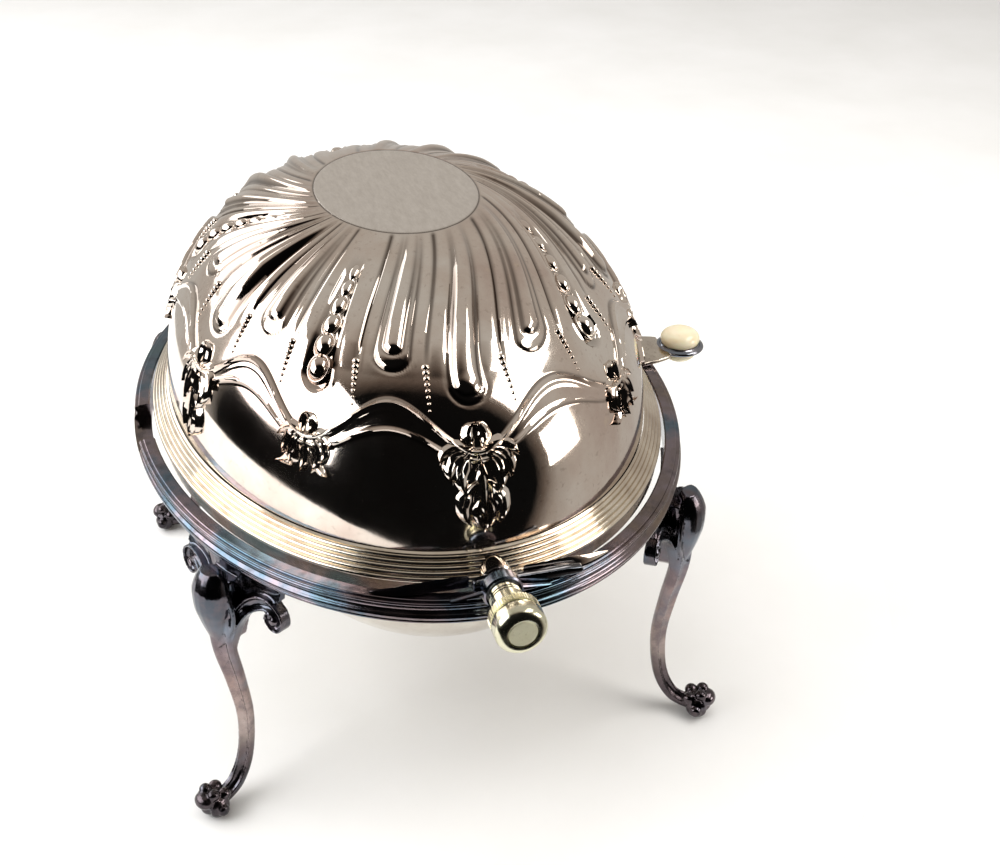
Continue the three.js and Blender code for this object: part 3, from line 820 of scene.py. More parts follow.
def rim_section():
    edge, top, bottom = rim_high.y, rim_high.z, rim_low.z
    section = [(edge - 7.2 * MM, bottom), (edge - 2.0 * MM, bottom)]
    section += arc((edge - 1.7 * MM, bottom + 1.0 * MM), 0.75 * MM, -80, 75, 5)
    section += arc((edge - 1.55 * MM, bottom + 3.3 * MM), 1.55 * MM, -70, 70, 9)
    section += arc((edge + 0.25 * MM, bottom + 6.15 * MM), 1.75 * MM, 242, 125, 8)
    section += arc((edge - 1.35 * MM, bottom + 8.35 * MM), 0.62 * MM, -50, 110, 6)
    section += arc((edge - 2.9 * MM, top - 0.75 * MM), 0.6 * MM, -10, 110, 5)
    section += [(edge - 3.7 * MM, top - 0.15 * MM), (edge - 6.6 * MM, top), (edge - 7.2 * MM, top - 0.5 * MM)]
    return section


rim = oval_ring("oval_frame", rim_section(), RIM_EXTRA, 260)
notch_depth = 6.3 * MM
notch_width = 28.6 * MM
notch_block = 20 * MM
bpy.ops.mesh.primitive_cube_add(size=1, location=(0, rim_high.y, rim_high.z - notch_depth + notch_block / 2))
bpy.context.object.scale = (notch_width, notch_block, notch_block)
bpy.ops.object.transform_apply(location=True, rotation=False, scale=True)
cut_away(rim, bpy.context.object)

# Round holes leave room for the collar of each knob, and for the stop arm behind it.
sleeve_low, sleeve_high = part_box("knob_sleeve_right")
arm_low, arm_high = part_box("stop_arm_right")
bore_both_ends(rim, 7.5 * MM, arm_high.x, sleeve_low.x + 4 * MM)
bore_both_ends(rim, 10.2 * MM, arm_low.x - 5 * MM, arm_high.x + 0.3 * MM)


def tarnished(name, stops, scale, darkest=(0.05, 0.045, 0.05), rough=(0.10, 0.26), stretch=(1, 1, 1)):
    """Silver left to tarnish: drifting colours, small dark spots and an uneven polish."""
    material, tree, shader = new_metal(name)
    drift = ramp(tree, object_noise(tree, scale, 5, 0.6, stretch), stops)
    spots = grey_ramp(tree, object_noise(tree, 130, 5, 0.65), (0.52, 0), (0.68, 0.55))
    tree.links.new(mixed(tree, spots, drift, darkest), shader.inputs["Base Color"])
    polish = grey_ramp(tree, object_noise(tree, 70, 5), (0.35, rough[0]), (0.7, rough[1]))
    tree.links.new(polish, shader.inputs["Roughness"])
    bumped(tree, shader, object_noise(tree, 240, 4), 0.10, 0.0005)
    return material


rim_tarnish = tarnished(
    "rim_tarnish",
    (
        (0.28, (0.26, 0.20, 0.15)), (0.40, (0.17, 0.135, 0.125)), (0.50, (0.22, 0.18, 0.20)),
        (0.60, (0.10, 0.145, 0.19)), (0.72, (0.09, 0.14, 0.155)), (0.85, (0.17, 0.14, 0.12)),
    ),
    22,
)
fit(rim, 35, rim_tarnish, "frame", "silver_frame", "frame_rim")

# ---------------------------------------------------------------- pivot lugs
# At each end a cast hub carries the pivot pin. It stands on a low saddle soldered along the top of
# the frame's moulding.
hub_low, hub_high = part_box("pivot_lug_right")
PIN_BORE = 3.3 * MM
ENDS = ((-1, "left"), (1, "right"))


def swept(line, widths, section):
    """A closed form that carries a section along a line: widths(share) scales it across and out."""
    rings = []
    for i, (place, across, out) in enumerate(line):
        wide, deep = widths(i / (len(line) - 1))
        rings.append([place + across * (x * wide) + out * (y * deep) for x, y in section])
    return loft(rings)


def round_section(sides):
    return [(math.cos(2 * math.pi * i / sides), math.sin(2 * math.pi * i / sides)) for i in range(sides)]


def along_rim(end, side, first, last, course, steps):
    """A line along the top of the frame beside a pivot, with its upward and outward directions.

    The course gives, for a share of the way, how far inside the frame's edge it runs and how high."""
    line = []
    for i in range(steps + 1):
        share = i / steps
        inside, height = course(share)
        y = first + (last - first) * share
        turn = math.asin(y / rim_high.y)
        place = Vector((end * (rim_high.x - inside) * math.cos(turn), side * y, height))
        out = Vector((end * math.cos(turn), side * math.sin(turn), 0)).normalized()
        line.append((place, Vector((0, 0, 1)), out))
    return line


def saddle_course(share):
    return 2.6 * MM, rim_high.z + (1.6 - 1.1 * share) * MM


def saddle_size(share):
    return (1.5 - 1.2 * share) * MM, 1.9 * MM


def turned_on_pivot(name, end, profile, steps=64):
    """A piece turned about the pivots' axis from (station, radius) pairs."""
    outline = [(end * x, 0, AXIS_Z + radius) for x, radius in profile]
    return spun(name, outline, (0, 0, AXIS_Z), (1, 0, 0), steps)


hub_radius = 7.2 * MM
hub_face = 6.6 * MM
hub_lip = 0.6 * MM
hub_profile = [
    (hub_low.x, PIN_BORE), (hub_low.x, hub_face), (hub_low.x + hub_lip, hub_radius),
    (hub_high.x - hub_lip, hub_radius), (hub_high.x, hub_face), (hub_high.x, PIN_BORE),
]
for end, side_name in ENDS:
    hub = turned_on_pivot(f"pivot_hub_{side_name}", end, hub_profile, 48)
    fit(hub, 40, rim_tarnish, "frame", "silver_frame", f"pivot_lug_{side_name}")
    saddle = solid_piece(
        f"pivot_saddle_{side_name}",
        [
            swept(along_rim(end, side, 6.2 * MM, 18 * MM, saddle_course, 14), saddle_size, round_section(12))
            for side in (-1, 1)
        ],
    )
    fit(saddle, 60, rim_tarnish, "frame", "silver_frame")

# ---------------------------------------------------------------- stop rests
# Leaf-shaped rests of bright-edged metal stand on the frame on both sides of each pivot and carry
# the stop arm at the two ends of the cover's turn.
LEAF_SECTION = [(1, 0.15), (0.55, 0.75), (-0.4, 1.0), (-1, 0.7), (-1, -0.9), (0.2, -0.75), (0.85, -0.35)]


def leaf_course(share):
    return (8.7 - 4.4 * share**1.3) * MM, rim_high.z + 0.4 * MM + 2.6 * MM * (1 - share) ** 1.2


def leaf_size(share):
    """Half the leaf's height and half its thickness, swelling and tapering along it."""
    height = 0.5 + 2.7 * math.sin(math.pi * (0.25 + 0.75 * share)) ** 0.8
    thickness = 0.42 + 1.15 * math.sin(math.pi * share**1.5)
    return height * MM, thickness * MM


leaf_foot = rim_high.z + 0.3 * MM
for end, side_name in ENDS:
    for side, place_name, finish in ((-1, "front", plain_silver), (1, "rear", rim_tarnish)):
        line = along_rim(end, side, 10 * MM, 44 * MM, leaf_course, 30)
        rest = solid_piece(f"stop_leaf_{place_name}_{side_name}", [swept(line, leaf_size, LEAF_SECTION)])
        for vertex in rest.data.vertices:
            vertex.co.z = max(vertex.co.z, leaf_foot)
        fit(rest, 38, finish, "frame", "silver_frame", f"stop_rest_{place_name}_{side_name}")

# ---------------------------------------------------------------- stop arms
# A tapering bar with softened edges is keyed to each ear of the cover, outside it. It lies on the
# front rest when the cover is closed and on the rear one when it is open.
arm_steel = tarnished(
    "arm_tarnish",
    ((0.3, (0.20, 0.22, 0.25)), (0.5, (0.12, 0.13, 0.15)), (0.7, (0.22, 0.22, 0.24))),
    60,
    rough=(0.08, 0.2),
)


def slab(name, outline, push, soft):
    """A flat outline pushed out into a bar or plate, with its edges softened."""
    bpy.ops.mesh.primitive_circle_add(vertices=len(outline), fill_type="NGON")
    bar = bpy.context.object
    bar.name = name
    for vertex, place in zip(bar.data.vertices, outline):
        vertex.co = place

    def thicken():
        bpy.ops.mesh.extrude_region_move(TRANSFORM_OT_translate={"value": push})
        bpy.ops.mesh.select_all(action="SELECT")
        bpy.ops.mesh.normals_make_consistent(inside=False)

    edit(bar, thicken)
    edges = bar.modifiers.new("soft_edges", "BEVEL")
    edges.width = soft
    edges.segments = 3
    edges.limit_method = "ANGLE"
    edges.angle_limit = math.radians(50)
    apply_modifier(bar, edges)
    return bar


def stop_arm(end, name):
    """The bar's outline: a square tail, a round eye for the pin and a long taper to a thin tip."""
    tail = arm_high.y / MM
    reach = -arm_low.y / MM
    eye_radius = 4.5
    tip_radius = 1.2
    outline = [
        (tail, -1.9), (tail, 2.3), (tail - 1.4, 2.8), *arc((0, 0), eye_radius, 48, 152, 9),
        (6 - reach, 1.6), *arc((tip_radius - reach, 0), tip_radius, 95, 260, 7),
        *arc((0, 0), eye_radius, 212, 330, 10),
    ]
    inner = arm_low.x + 0.02 * MM
    outer = arm_high.x - 0.02 * MM
    places = [(end * inner, y * MM, AXIS_Z + z * MM) for y, z in outline]
    bar = slab(name, places, (end * (outer - inner), 0, 0), 0.45 * MM)
    bore(bar, PIN_BORE, end * inner, 20 * MM, 40)
    return bar


ear_edge = 0.5 * MM
ear_profile = [
    (ear_low.x, PIN_BORE), (ear_low.x, ear_radius - ear_edge), (ear_low.x + ear_edge, ear_radius),
    (ear_high.x - ear_edge, ear_radius), (ear_high.x, ear_radius - ear_edge), (ear_high.x, PIN_BORE),
]
for end, side_name in ENDS:
    arm = stop_arm(end, f"stop_bar_{side_name}")
    fit(arm, 30, arm_steel, "cover", "silver_frame", f"stop_arm_{side_name}")
    eye = turned_on_pivot(f"cover_eye_{side_name}", end, ear_profile, 48)
    fit(eye, 40, plain_silver, "cover", "silver_cover", f"cover_ear_{side_name}")

# ---------------------------------------------------------------- knobs
# A turned nickel knob screws on the end of each pivot: a ringed sleeve, a finely milled edge, a
# rounded cap and an inlaid disc in its face.
cap_low, cap_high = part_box("knob_cap_right")
inset_low, inset_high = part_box("knob_inset_right")
KNOB_COLUMNS = 180  # of points round the milled edge, three to a groove


def metal(name, low, high, rough, speck, bump=0.06):
    """A turned metal with slight mottling and fine turning marks."""
    material, tree, shader = new_metal(name)
    tone = ramp(tree, object_noise(tree, 90, 5), ((0.35, low), (0.68, high)))
    spots = grey_ramp(tree, object_noise(tree, 700, 3), (0.60, 0), (0.72, 0.5))
    tree.links.new(mixed(tree, spots, tone, speck), shader.inputs["Base Color"])
    polish = grey_ramp(tree, object_noise(tree, 260, 4), (0.3, rough[0]), (0.7, rough[1]))
    tree.links.new(polish, shader.inputs["Roughness"])
    bumped(tree, shader, object_noise(tree, 900, 3, 0.5, (1, 0.15, 0.15)), bump, 0.0002)
    return material


nickel = metal("yellow_nickel", (0.78, 0.76, 0.60), (0.62, 0.60, 0.44), (0.13, 0.24), (0.36, 0.34, 0.2))
inlay = metal("satin_inlay", (0.80, 0.78, 0.58), (0.70, 0.67, 0.47), (0.42, 0.55), (0.5, 0.46, 0.28), 0.2)
inlay.node_tree.nodes["Principled BSDF"].inputs["Metallic"].default_value = 0.6


def sleeve_profile():
    """The collar: two grooves and a waist before it meets the knob."""
    start, stop = sleeve_low.x, sleeve_high.x
    radius = (sleeve_high.z - sleeve_low.z) / 2
    profile = [(start, PIN_BORE), (start, radius - 0.4 * MM), (start + 0.4 * MM, radius)]
    for groove in (0.22, 0.34):
        at = start + groove * (stop - start)
        profile += [(at - 0.35 * MM, radius), (at, radius - 0.4 * MM), (at + 0.35 * MM, radius)]
    profile += [(stop - 2.6 * MM, radius - 0.1 * MM), (stop - 1.8 * MM, radius - 0.7 * MM)]
    return profile + [(stop - 0.5 * MM, radius - 0.2 * MM), (stop, radius), (stop, PIN_BORE)]


def cap_profile():
    """The knob from the foot of its bore, round the milled edge and the cap, to its recessed face."""
    foot, face = cap_low.x, cap_high.x
    radius = (cap_high.z - cap_low.z) / 2
    round_edge = 3.1 * MM
    bowl = (inset_high.z - inset_low.z) / 2 + 0.35 * MM
    bowl_floor = face - 1.5 * MM
    from_foot = (
        (0.5, 0.6), (0.6, 0.05), (1.6, 0.05), (2.7, 0.05), (3.6, 0.05), (3.7, 0.8), (4.2, 0.8), (4.5, 0.25),
    )
    return [
        (foot + 4.5 * MM, 0), (foot + 4.5 * MM, PIN_BORE), (foot, PIN_BORE), (foot, radius - 1.3 * MM),
        *((foot + along * MM, radius - down * MM) for along, down in from_foot),
        (foot + 5.4 * MM, radius),
        *arc((face - round_edge, radius - round_edge), round_edge, 88, 4, 10),
        (face, bowl + 0.4 * MM), (face - 0.1 * MM, bowl), (bowl_floor, bowl), (bowl_floor, 0),
    ]


def mill(knob):
    """Cuts a groove into every third column of points round the knob's straight edge."""
    for vertex in knob.data.vertices:
        out = Vector((vertex.co.y, vertex.co.z - AXIS_Z))
        station = abs(vertex.co.x) - cap_low.x
        column = round(math.atan2(out.x, out.y) / (2 * math.pi) * KNOB_COLUMNS)
        if 0.55 * MM < station < 3.65 * MM and out.length > 9.2 * MM and column % 3 == 0:
            vertex.co.yz = vertex.co.yz - out.normalized() * 0.55 * MM


inset_radius = (inset_high.z - inset_low.z) / 2
inset_profile = [
    (inset_low.x, 0), (inset_low.x, inset_radius), (inset_high.x - 0.3 * MM, inset_radius),
    (inset_high.x, inset_radius - 0.3 * MM), (inset_high.x, inset_radius - 0.8 * MM),
    (inset_high.x + 0.05 * MM, 0),
]


def refinish(node, material):
    """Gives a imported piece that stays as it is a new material."""
    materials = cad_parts[node].data.materials
    materials.clear()
    materials.append(material)


for end, side_name in ENDS:
    body = f"knob_{side_name}"
    sleeve = turned_on_pivot(f"knob_collar_{side_name}", end, sleeve_profile())
    fit(sleeve, 35, nickel, body, "nickel", f"knob_sleeve_{side_name}")
    cap = turned_on_pivot(f"knob_head_{side_name}", end, cap_profile(), KNOB_COLUMNS)
    mill(cap)
    fit(cap, 30, nickel, body, "nickel", f"knob_cap_{side_name}")
    disc = turned_on_pivot(f"knob_inlay_{side_name}", end, inset_profile)
    fit(disc, 40, inlay, body, "nickel_inset", f"knob_inset_{side_name}")
    refinish(f"pivot_pin_{side_name}", nickel)

# ---------------------------------------------------------------- cabriole legs
# Four cast legs soldered under the frame: a drop-shaped knee between two wings that curl into
# volutes, a ridged shaft and a rolled toe. The castings are joined, remeshed and softened. Their colour
# is banded by height: painted shade makes them nearly black up under the frame, and they are brown
# and pinkish grey lower down and dark again at the toe, with random mottles of tarnish over all.
leg_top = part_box("leg_rear_right")[1].z
LEG_SLOPE = math.radians(58)
FOOT = Vector((103.3, 104.9, 0))
OUTWARD = Vector((math.cos(LEG_SLOPE), math.sin(LEG_SLOPE), 0))
SIDEWAYS = Vector((-math.sin(LEG_SLOPE), math.cos(LEG_SLOPE), 0))
KNEE_TURN = math.radians(52.8)
WING_SPAN = 26.0


def flowing(knots, steps):
    """Points along a smooth curve through the knots (Catmull-Rom), a few to each span."""
    knots = [Vector(knot) for knot in knots]
    ends = [2 * knots[0] - knots[1], *knots, 2 * knots[-1] - knots[-2]]
    line = []
    for i in range(1, len(ends) - 2):
        before, start, stop, after = ends[i - 1 : i + 3]
        for k in range(steps):
            t = k / steps
            line.append(
                0.5 * (2 * start + (stop - before) * t + (2 * before - 5 * start + 4 * stop - after) * t**2
                       + (3 * start - before - 3 * stop + after) * t**3)
            )
    return [*line, knots[-1]]


def in_leg(reach, side, height):
    """Millimetres out from the foot, to the side and up, in the upright plane of the leg."""
    return FOOT + OUTWARD * reach + SIDEWAYS * side + Vector((0, 0, height))


def under_rim(side, outward, height):
    """A place along the underside of the frame, to the side of the knee."""
    turn = KNEE_TURN + math.radians(11) * side / WING_SPAN
    rim_x, rim_y = rim_high.x / MM - 5.2 + outward, rim_high.y / MM - 5.2 + outward
    return Vector((rim_x * math.cos(turn), rim_y * math.sin(turn), height))


def framed(places, across):
    """Each place with a direction across the line and one square to both."""
    line = []
    for i, place in enumerate(places):
        along = (places[min(i + 1, len(places) - 1)] - places[max(i - 1, 0)]).normalized()
        side = (across - along * across.dot(along)).normalized()
        line.append((place, side, along.cross(side)))
    return line


def lump(centre, radii, rings=10):
    """A rounded lump with its radii outwards, sideways and up."""
    out, side, up = radii
    return loft([
        [
            centre + OUTWARD * (out * math.cos(t) * math.sin(p)) + SIDEWAYS * (side * math.cos(p))
            + Vector((0, 0, up * math.sin(t) * math.sin(p)))
            for t in np.linspace(0, 2 * math.pi, 20, endpoint=False)
        ]
        for p in np.linspace(0.05, math.pi - 0.05, rings)
    ])


def sized(*tables):
    """A function of the share of the way that looks up sizes in (share, size) tables."""
    return lambda share: [float(np.interp(share, *zip(*table))) for table in tables]


def shaft_form():
    path = flowing(
        [
            (-16, 0, 111), (-13.8, 0, 98), (-13.4, 0, 80), (-17, 0, 60), (-19.6, 0, 40),
            (-17.6, 0, 20), (-11.5, 0, 8.2), (-3, 0, 4.4), (2.6, 0, 5.0),
        ],
        7,
    )
    half = [
        (0, 1.42), (0.17, 1.34), (0.27, 0.92), (0.66, 0.46), (0.8, 0.62),
        (0.97, 0.55), (1.0, 0.1), (0.9, -0.5), (0.5, -0.85),
    ]
    ridged = half + [(0, -0.9)] + [(-x, y) for x, y in reversed(half[1:])]
    half_width = (
        (0, 8.0), (0.12, 7.6), (0.28, 5.9), (0.45, 4.2), (0.62, 3.6), (0.8, 3.5), (0.93, 3.6), (1, 3.0),
    )
    half_depth = ((0, 3.6), (0.2, 3.8), (0.4, 3.2), (0.6, 2.7), (0.85, 2.6), (1, 2.6))
    line = framed([in_leg(*place) for place in path], SIDEWAYS)
    return swept(line, sized(half_width, half_depth), ridged)


def knee_forms():
    """The drop: fat under the frame and drawn out to a point down the front of the shaft."""
    crest = flowing(
        [
            (-15.5, 0, 113.2), (-12.4, 0, 110.5), (-11.2, 0, 104), (-11.0, 0, 96), (-11.4, 0, 88),
            (-12.4, 0, 80), (-14.2, 0, 72),
        ],
        5,
    )
    swell = ((0, 2.2), (0.1, 6.2), (0.28, 8.3), (0.45, 7.6), (0.62, 5.4), (0.8, 3.0), (1, 0.5))
    slimmer = [(share, 0.9 * wide) for share, wide in swell]
    drop_line = framed([in_leg(*place) for place in crest], SIDEWAYS)

    # A raised collar runs round the drop in the shape of a tear.
    collar_line = []
    for turn in 2 * math.pi * np.linspace(0, 1, 33):
        downwards = max(0.0, -math.cos(turn))
        narrow = 1 - 0.55 * downwards**1.5
        reach = -12.6 + 2.6 * downwards**3
        collar_line.append(in_leg(reach, 9.3 * math.sin(turn) * narrow, 96.0 + 16.4 * math.cos(turn)))
    collar_size = ((0, 1.05), (1, 1.05))
    return [
        swept(drop_line, sized(swell, slimmer), round_section(18)),
        swept(framed(collar_line, OUTWARD), sized(collar_size, collar_size), round_section(8)),
    ]


def wing_forms(hand):
    """One wing: a band with raised edges, the web behind it and the volute at its tip."""
    path = flowing(
        [
            (2.5, 7.0, 72), (4.6, 6.6, 82), (7.5, 5.0, 92), (12, 3.0, 99.5), (17.5, 1.4, 103.6),
            (23, 0.8, 104.6), (27.2, 0.8, 102.4), (28.4, 0.8, 98.4), (26.2, 0.8, 95.6), (23.4, 0.8, 97.0),
            (23.0, 0.8, 99.6), (25.0, 0.8, 100.4),
        ],
        5,
    )
    edged = [
        (1.0, 1.5), (0.72, 1.5), (0.5, 0.6), (0, 0.35), (-0.5, 0.6),
        (-0.72, 1.5), (-1.0, 1.5), (-1.0, -1.1), (1.0, -1.1),
    ]
    half_width = ((0, 1.2), (0.12, 2.4), (0.35, 3.1), (0.55, 2.7), (0.75, 1.9), (1, 1.3))
    half_depth = ((0, 1.5), (1, 2.1))
    line = framed([under_rim(hand * side, outward, height) for side, outward, height in path], OUTWARD)
    line = [(place, square, out) for place, out, square in line]

    # The web behind the band: how far to the side of the knee, and how high its foot is there.
    feet = ((0, 76), (3, 79), (6, 88), (10, 96.5), (15, 101.5), (20, 104.0), (25, 105.6), (28, 107.5))
    web = []
    for side, foot in feet:
        low = under_rim(hand * side, 0, foot)
        high = under_rim(hand * side, -0.4, 114.5)
        middle = (low + high) / 2
        swell = 4.5 * max(0, 1 - side / 13)
        web.append(
            [
                low + OUTWARD * (2.1 + swell), middle + OUTWARD * (0.6 + swell), high + OUTWARD * 3.0,
                high - OUTWARD * 2.6, middle - OUTWARD * 2.2, low - OUTWARD * 2.1,
            ]
        )
    return [
        swept(line, sized(half_width, half_depth), edged),
        loft(web),
        lump(under_rim(hand * 25.6, 1.2, 98.8), (3.0, 2.2, 2.4)),
    ]


def toe_forms():
    """The rolled toe: a broad roll with narrower ends, small end buttons and curled lumps on top."""
    forms = [lump(in_leg(1.2, 0, 5.2), (5.7, 3.4, 5.7), 14), lump(in_leg(5.0, 0, 8.6), (3.6, 4.6, 3.4))]
    for hand in (-1, 1):
        forms.append(lump(in_leg(1.0, hand * 4.4, 4.8), (4.6, 2.3, 4.6)))
        forms.append(lump(in_leg(1.0, hand * 6.9, 4.8), (2.5, 1.6, 2.5)))
        forms.append(lump(in_leg(-2.6, hand * 3.0, 8.8), (2.9, 2.7, 2.6)))
        forms.append(lump(in_leg(2.2, hand * 2.6, 11.2), (2.6, 2.5, 2.3)))
    return forms


def cast_leg(name):
    """One leg with all its forms joined into a single soft-edged casting, standing flat."""
    forms = [shaft_form(), *knee_forms(), *wing_forms(-1), *wing_forms(1), *toe_forms()]
    casting = solid_piece(name, forms)
    casting.data.transform(Matrix.Scale(MM, 4))
    remesh = casting.modifiers.new("join", "REMESH")
    remesh.mode = "VOXEL"
    remesh.voxel_size = 0.42 * MM
    apply_modifier(casting, remesh)
    soften = casting.modifiers.new("soften", "SMOOTH")
    soften.factor = 0.5
    soften.iterations = 3
    apply_modifier(casting, soften)
    highest = leg_top + 1.7 * MM
    for vertex in casting.data.vertices:
        vertex.co.z = min(max(vertex.co.z, 0), highest)
    return casting


# Random mottles and blooms of tarnish over painted shade laid in bands by the leg's height.
def leg_tarnish_and_shade():
    material, tree, shader = new_metal("leg_tarnish_and_shade")
    place = add_node(tree, "ShaderNodeTexCoord")
    axes = add_node(tree, "ShaderNodeSeparateXYZ")
    tree.links.new(place.outputs["Object"], axes.inputs["Vector"])
    height = add_node(tree, "ShaderNodeMapRange")
    height.inputs["From Max"].default_value = 0.115
    tree.links.new(axes.outputs["Z"], height.inputs["Value"])
    # Painted shade by height: nearly black up under the frame, brown and pinkish grey on the lower shaft,
    # dark again at the toe.
    height_shade = ramp(
        tree,
        height.outputs["Result"],
        (
            (0.11, (0.05, 0.045, 0.05)),
            (0.19, (0.14, 0.115, 0.11)),
            (0.30, (0.46, 0.38, 0.35)),
            (0.52, (0.34, 0.25, 0.23)),
            (0.68, (0.24, 0.19, 0.20)),
            (0.82, (0.10, 0.11, 0.13)),
            (0.95, (0.07, 0.08, 0.10)),
        ),
    )
    mottle = grey_ramp(tree, object_noise(tree, 95, 6, 0.65), (0.42, 0), (0.62, 0.8))
    colour = mixed(tree, mottle, height_shade, (0.15, 0.12, 0.13))
    bloom = grey_ramp(tree, object_noise(tree, 45, 3), (0.55, 0), (0.72, 0.6))
    colour = mixed(tree, bloom, colour, (0.17, 0.22, 0.28))
    tree.links.new(colour, shader.inputs["Base Color"])
    polish = grey_ramp(tree, object_noise(tree, 80, 5), (0.35, 0.10), (0.7, 0.30))
    tree.links.new(polish, shader.inputs["Roughness"])
    bumped(tree, shader, object_noise(tree, 260, 4), 0.12, 0.0005)
    return material


leg_material = leg_tarnish_and_shade()
pattern = cast_leg("cast_leg_rear_right")
for end_x, end_y, place_name in ((-1, 1, "rear_left"), (-1, -1, "front_left"), (1, -1, "front_right")):
    casting = bpy.data.objects.new(f"cast_leg_{place_name}", pattern.data.copy())
    bpy.context.scene.collection.objects.link(casting)
    casting.data.transform(Matrix.Diagonal((end_x, end_y, 1, 1)))
    if end_x * end_y < 0:
        casting.data.flip_normals()
    fit(casting, 180, leg_material, "frame", "silver_legs", f"leg_{place_name}")
fit(pattern, 180, leg_material, "frame", "silver_legs", "leg_rear_right")

# ---------------------------------------------------------------- handle
# A flared plate is soldered to the front of the cover's border. It ends in a round disc that
# carries an ivory button above and a smaller one below, held by a stud.
tab_low, tab_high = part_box("handle_tab")
upper_low, upper_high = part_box("handle_button_upper")
lower_low, lower_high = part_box("handle_button_lower")
button_y = (upper_low.y + upper_high.y) / 2
plate_bottom = tab_low.z + 0.2 * MM
plate_silver = metal(
    "worn_plate", (0.60, 0.54, 0.46), (0.42, 0.36, 0.31), (0.12, 0.26), (0.16, 0.12, 0.10), 0.12
)
disc_silver = tarnished(
    "disc_tarnish",
    ((0.3, (0.30, 0.34, 0.40)), (0.5, (0.20, 0.22, 0.26)), (0.7, (0.34, 0.32, 0.34))),
    70,
    rough=(0.07, 0.18),
)


def handle_plate():
    """The plate narrows in a curve from the border to the neck under the disc."""
    half, root = tab_high.x, tab_high.y
    neck = 9.4 * MM
    tip = button_y + 8 * MM
    left = []
    for t in np.linspace(0, 1, 12):
        start, pull, stop = (1 - t) ** 2, 2 * t * (1 - t), t**2
        x = start * half + pull * (half - 1.2 * MM) + stop * neck
        y = start * root + pull * (root - 11.5 * MM) + stop * tip
        left.append((-x, y, plate_bottom))
    outline = left + [(-x, y, z) for x, y, z in reversed(left)]
    return slab("handle_plate", outline, (0, 0, 1.8 * MM), 0.5 * MM)


def handle_bracket():
    """The upright foot of the plate, with its upper corners cut off."""
    corner = 3 * MM
    outline = [
        (tab_low.x, plate_bottom), (tab_high.x, plate_bottom), (tab_high.x, tab_high.z - corner),
        (tab_high.x - corner, tab_high.z), (tab_low.x + corner, tab_high.z), (tab_low.x, tab_high.z - corner),
    ]
    return slab("handle_bracket", [(x, tab_high.y, z) for x, z in outline], (0, -2 * MM, 0), 0.5 * MM)


fit(handle_plate(), 30, plate_silver, "cover", "silver_cover", "handle_tab")
fit(handle_bracket(), 30, plate_silver, "cover", "silver_cover")


def turned_upright(name, profile, steps=96):
    """A piece turned about the upright axis of the handle, from (radius, height) pairs."""
    outline = [(0, button_y - radius, height) for radius, height in profile]
    return spun(name, outline, (0, button_y, 0), (0, 0, 1), steps)


def disc_profile():
    """The disc's section: a rounded edge and a fine groove round its upper face."""
    radius = button_y - tab_low.y
    top, bottom = upper_low.z - 0.3 * MM, tab_low.z
    stud_bore = 1.9 * MM
    round_edge = 0.9 * MM
    return [
        (stud_bore, bottom), (radius - 1.1 * MM, bottom),
        *arc((radius - round_edge, (bottom + top) / 2 - 0.1 * MM), round_edge, -75, 75, 8),
        (radius - 1.5 * MM, top - 0.1 * MM), (radius - 1.9 * MM, top - 0.45 * MM),
        (radius - 2.4 * MM, top), (stud_bore, top),
    ]


disc = turned_upright("handle_disc", disc_profile())
fit(disc, 35, disc_silver, "cover", "silver_cover")


def ivory_material():
    """Old ivory: creamy, a little translucent, with faint brown grain."""
    material = bpy.data.materials.new("old_ivory")
    tree, shader = nodes_of(material)
    grain = ramp(
        tree,
        object_noise(tree, 120, 4, 0.5, (1, 1, 5)),
        ((0.35, (0.84, 0.77, 0.58)), (0.65, (0.78, 0.68, 0.46))),
    )
    stain = grey_ramp(tree, object_noise(tree, 60, 3), (0.60, 0), (0.80, 0.35))
    tree.links.new(mixed(tree, stain, grain, (0.62, 0.44, 0.22)), shader.inputs["Base Color"])
    shader.inputs["Roughness"].default_value = 0.22
    shader.inputs["Subsurface Weight"].default_value = 0.25
    shader.inputs["Subsurface Radius"].default_value = (0.003, 0.002, 0.001)
    shader.inputs["Subsurface Scale"].default_value = 1
    shader.inputs["Coat Weight"].default_value = 0.3
    bumped(tree, shader, object_noise(tree, 300, 3), 0.04, 0.0004)
    return material


old_ivory = ivory_material()


def button(name, face, crown, radius):
    """A button from its flat face to its crown; the crown lies below the face on the lower one."""
    height = crown - face
    profile = [(0, face), (0.80 * radius, face), (0.88 * radius, face + 0.05 * height)]
    for t in np.radians(np.linspace(-28, 90, 18)):
        profile.append((radius * math.cos(t) ** 0.9, face + height * (0.30 + 0.70 * math.sin(t))))
    profile[-1] = (0, crown)
    return turned_upright(name, profile)


upper_button = button("ivory_button_upper", upper_low.z, upper_high.z, upper_high.x)
fit(upper_button, 50, old_ivory, "cover", "ivory", "handle_button_upper")
lower_button = button("ivory_button_lower", lower_high.z, lower_low.z, lower_high.x)
fit(lower_button, 50, old_ivory, "cover", "ivory", "handle_button_lower")
refinish("handle_stud", nickel)

# ---------------------------------------------------------------- inner dish
# The fixed dish between the pivots: a deep boat-shaped bowl with a flat deck across its mouth and a
# boss at each end for the pivot pin. Plain silver plate, lightly scratched.
dish_low, dish_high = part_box("base_dish")
DISH_REACH = 135 * MM
DISH_RADIUS = AXIS_Z - dish_low.z
DISH_MOUTH = 126.2 * MM
SHEET = 1.5 * MM
dish_silver = metal(
    "dish_silver", (0.82, 0.78, 0.70), (0.70, 0.64, 0.56), (0.08, 0.20), (0.40, 0.33, 0.26), 0.05
)


def dish_radius(distance):
    """Radius of the bowl at some distance from the middle of the pivots' axis."""
    share = min(abs(distance) / DISH_REACH, 0.9995)
    return DISH_RADIUS * (1 - share**2.4) ** 0.48


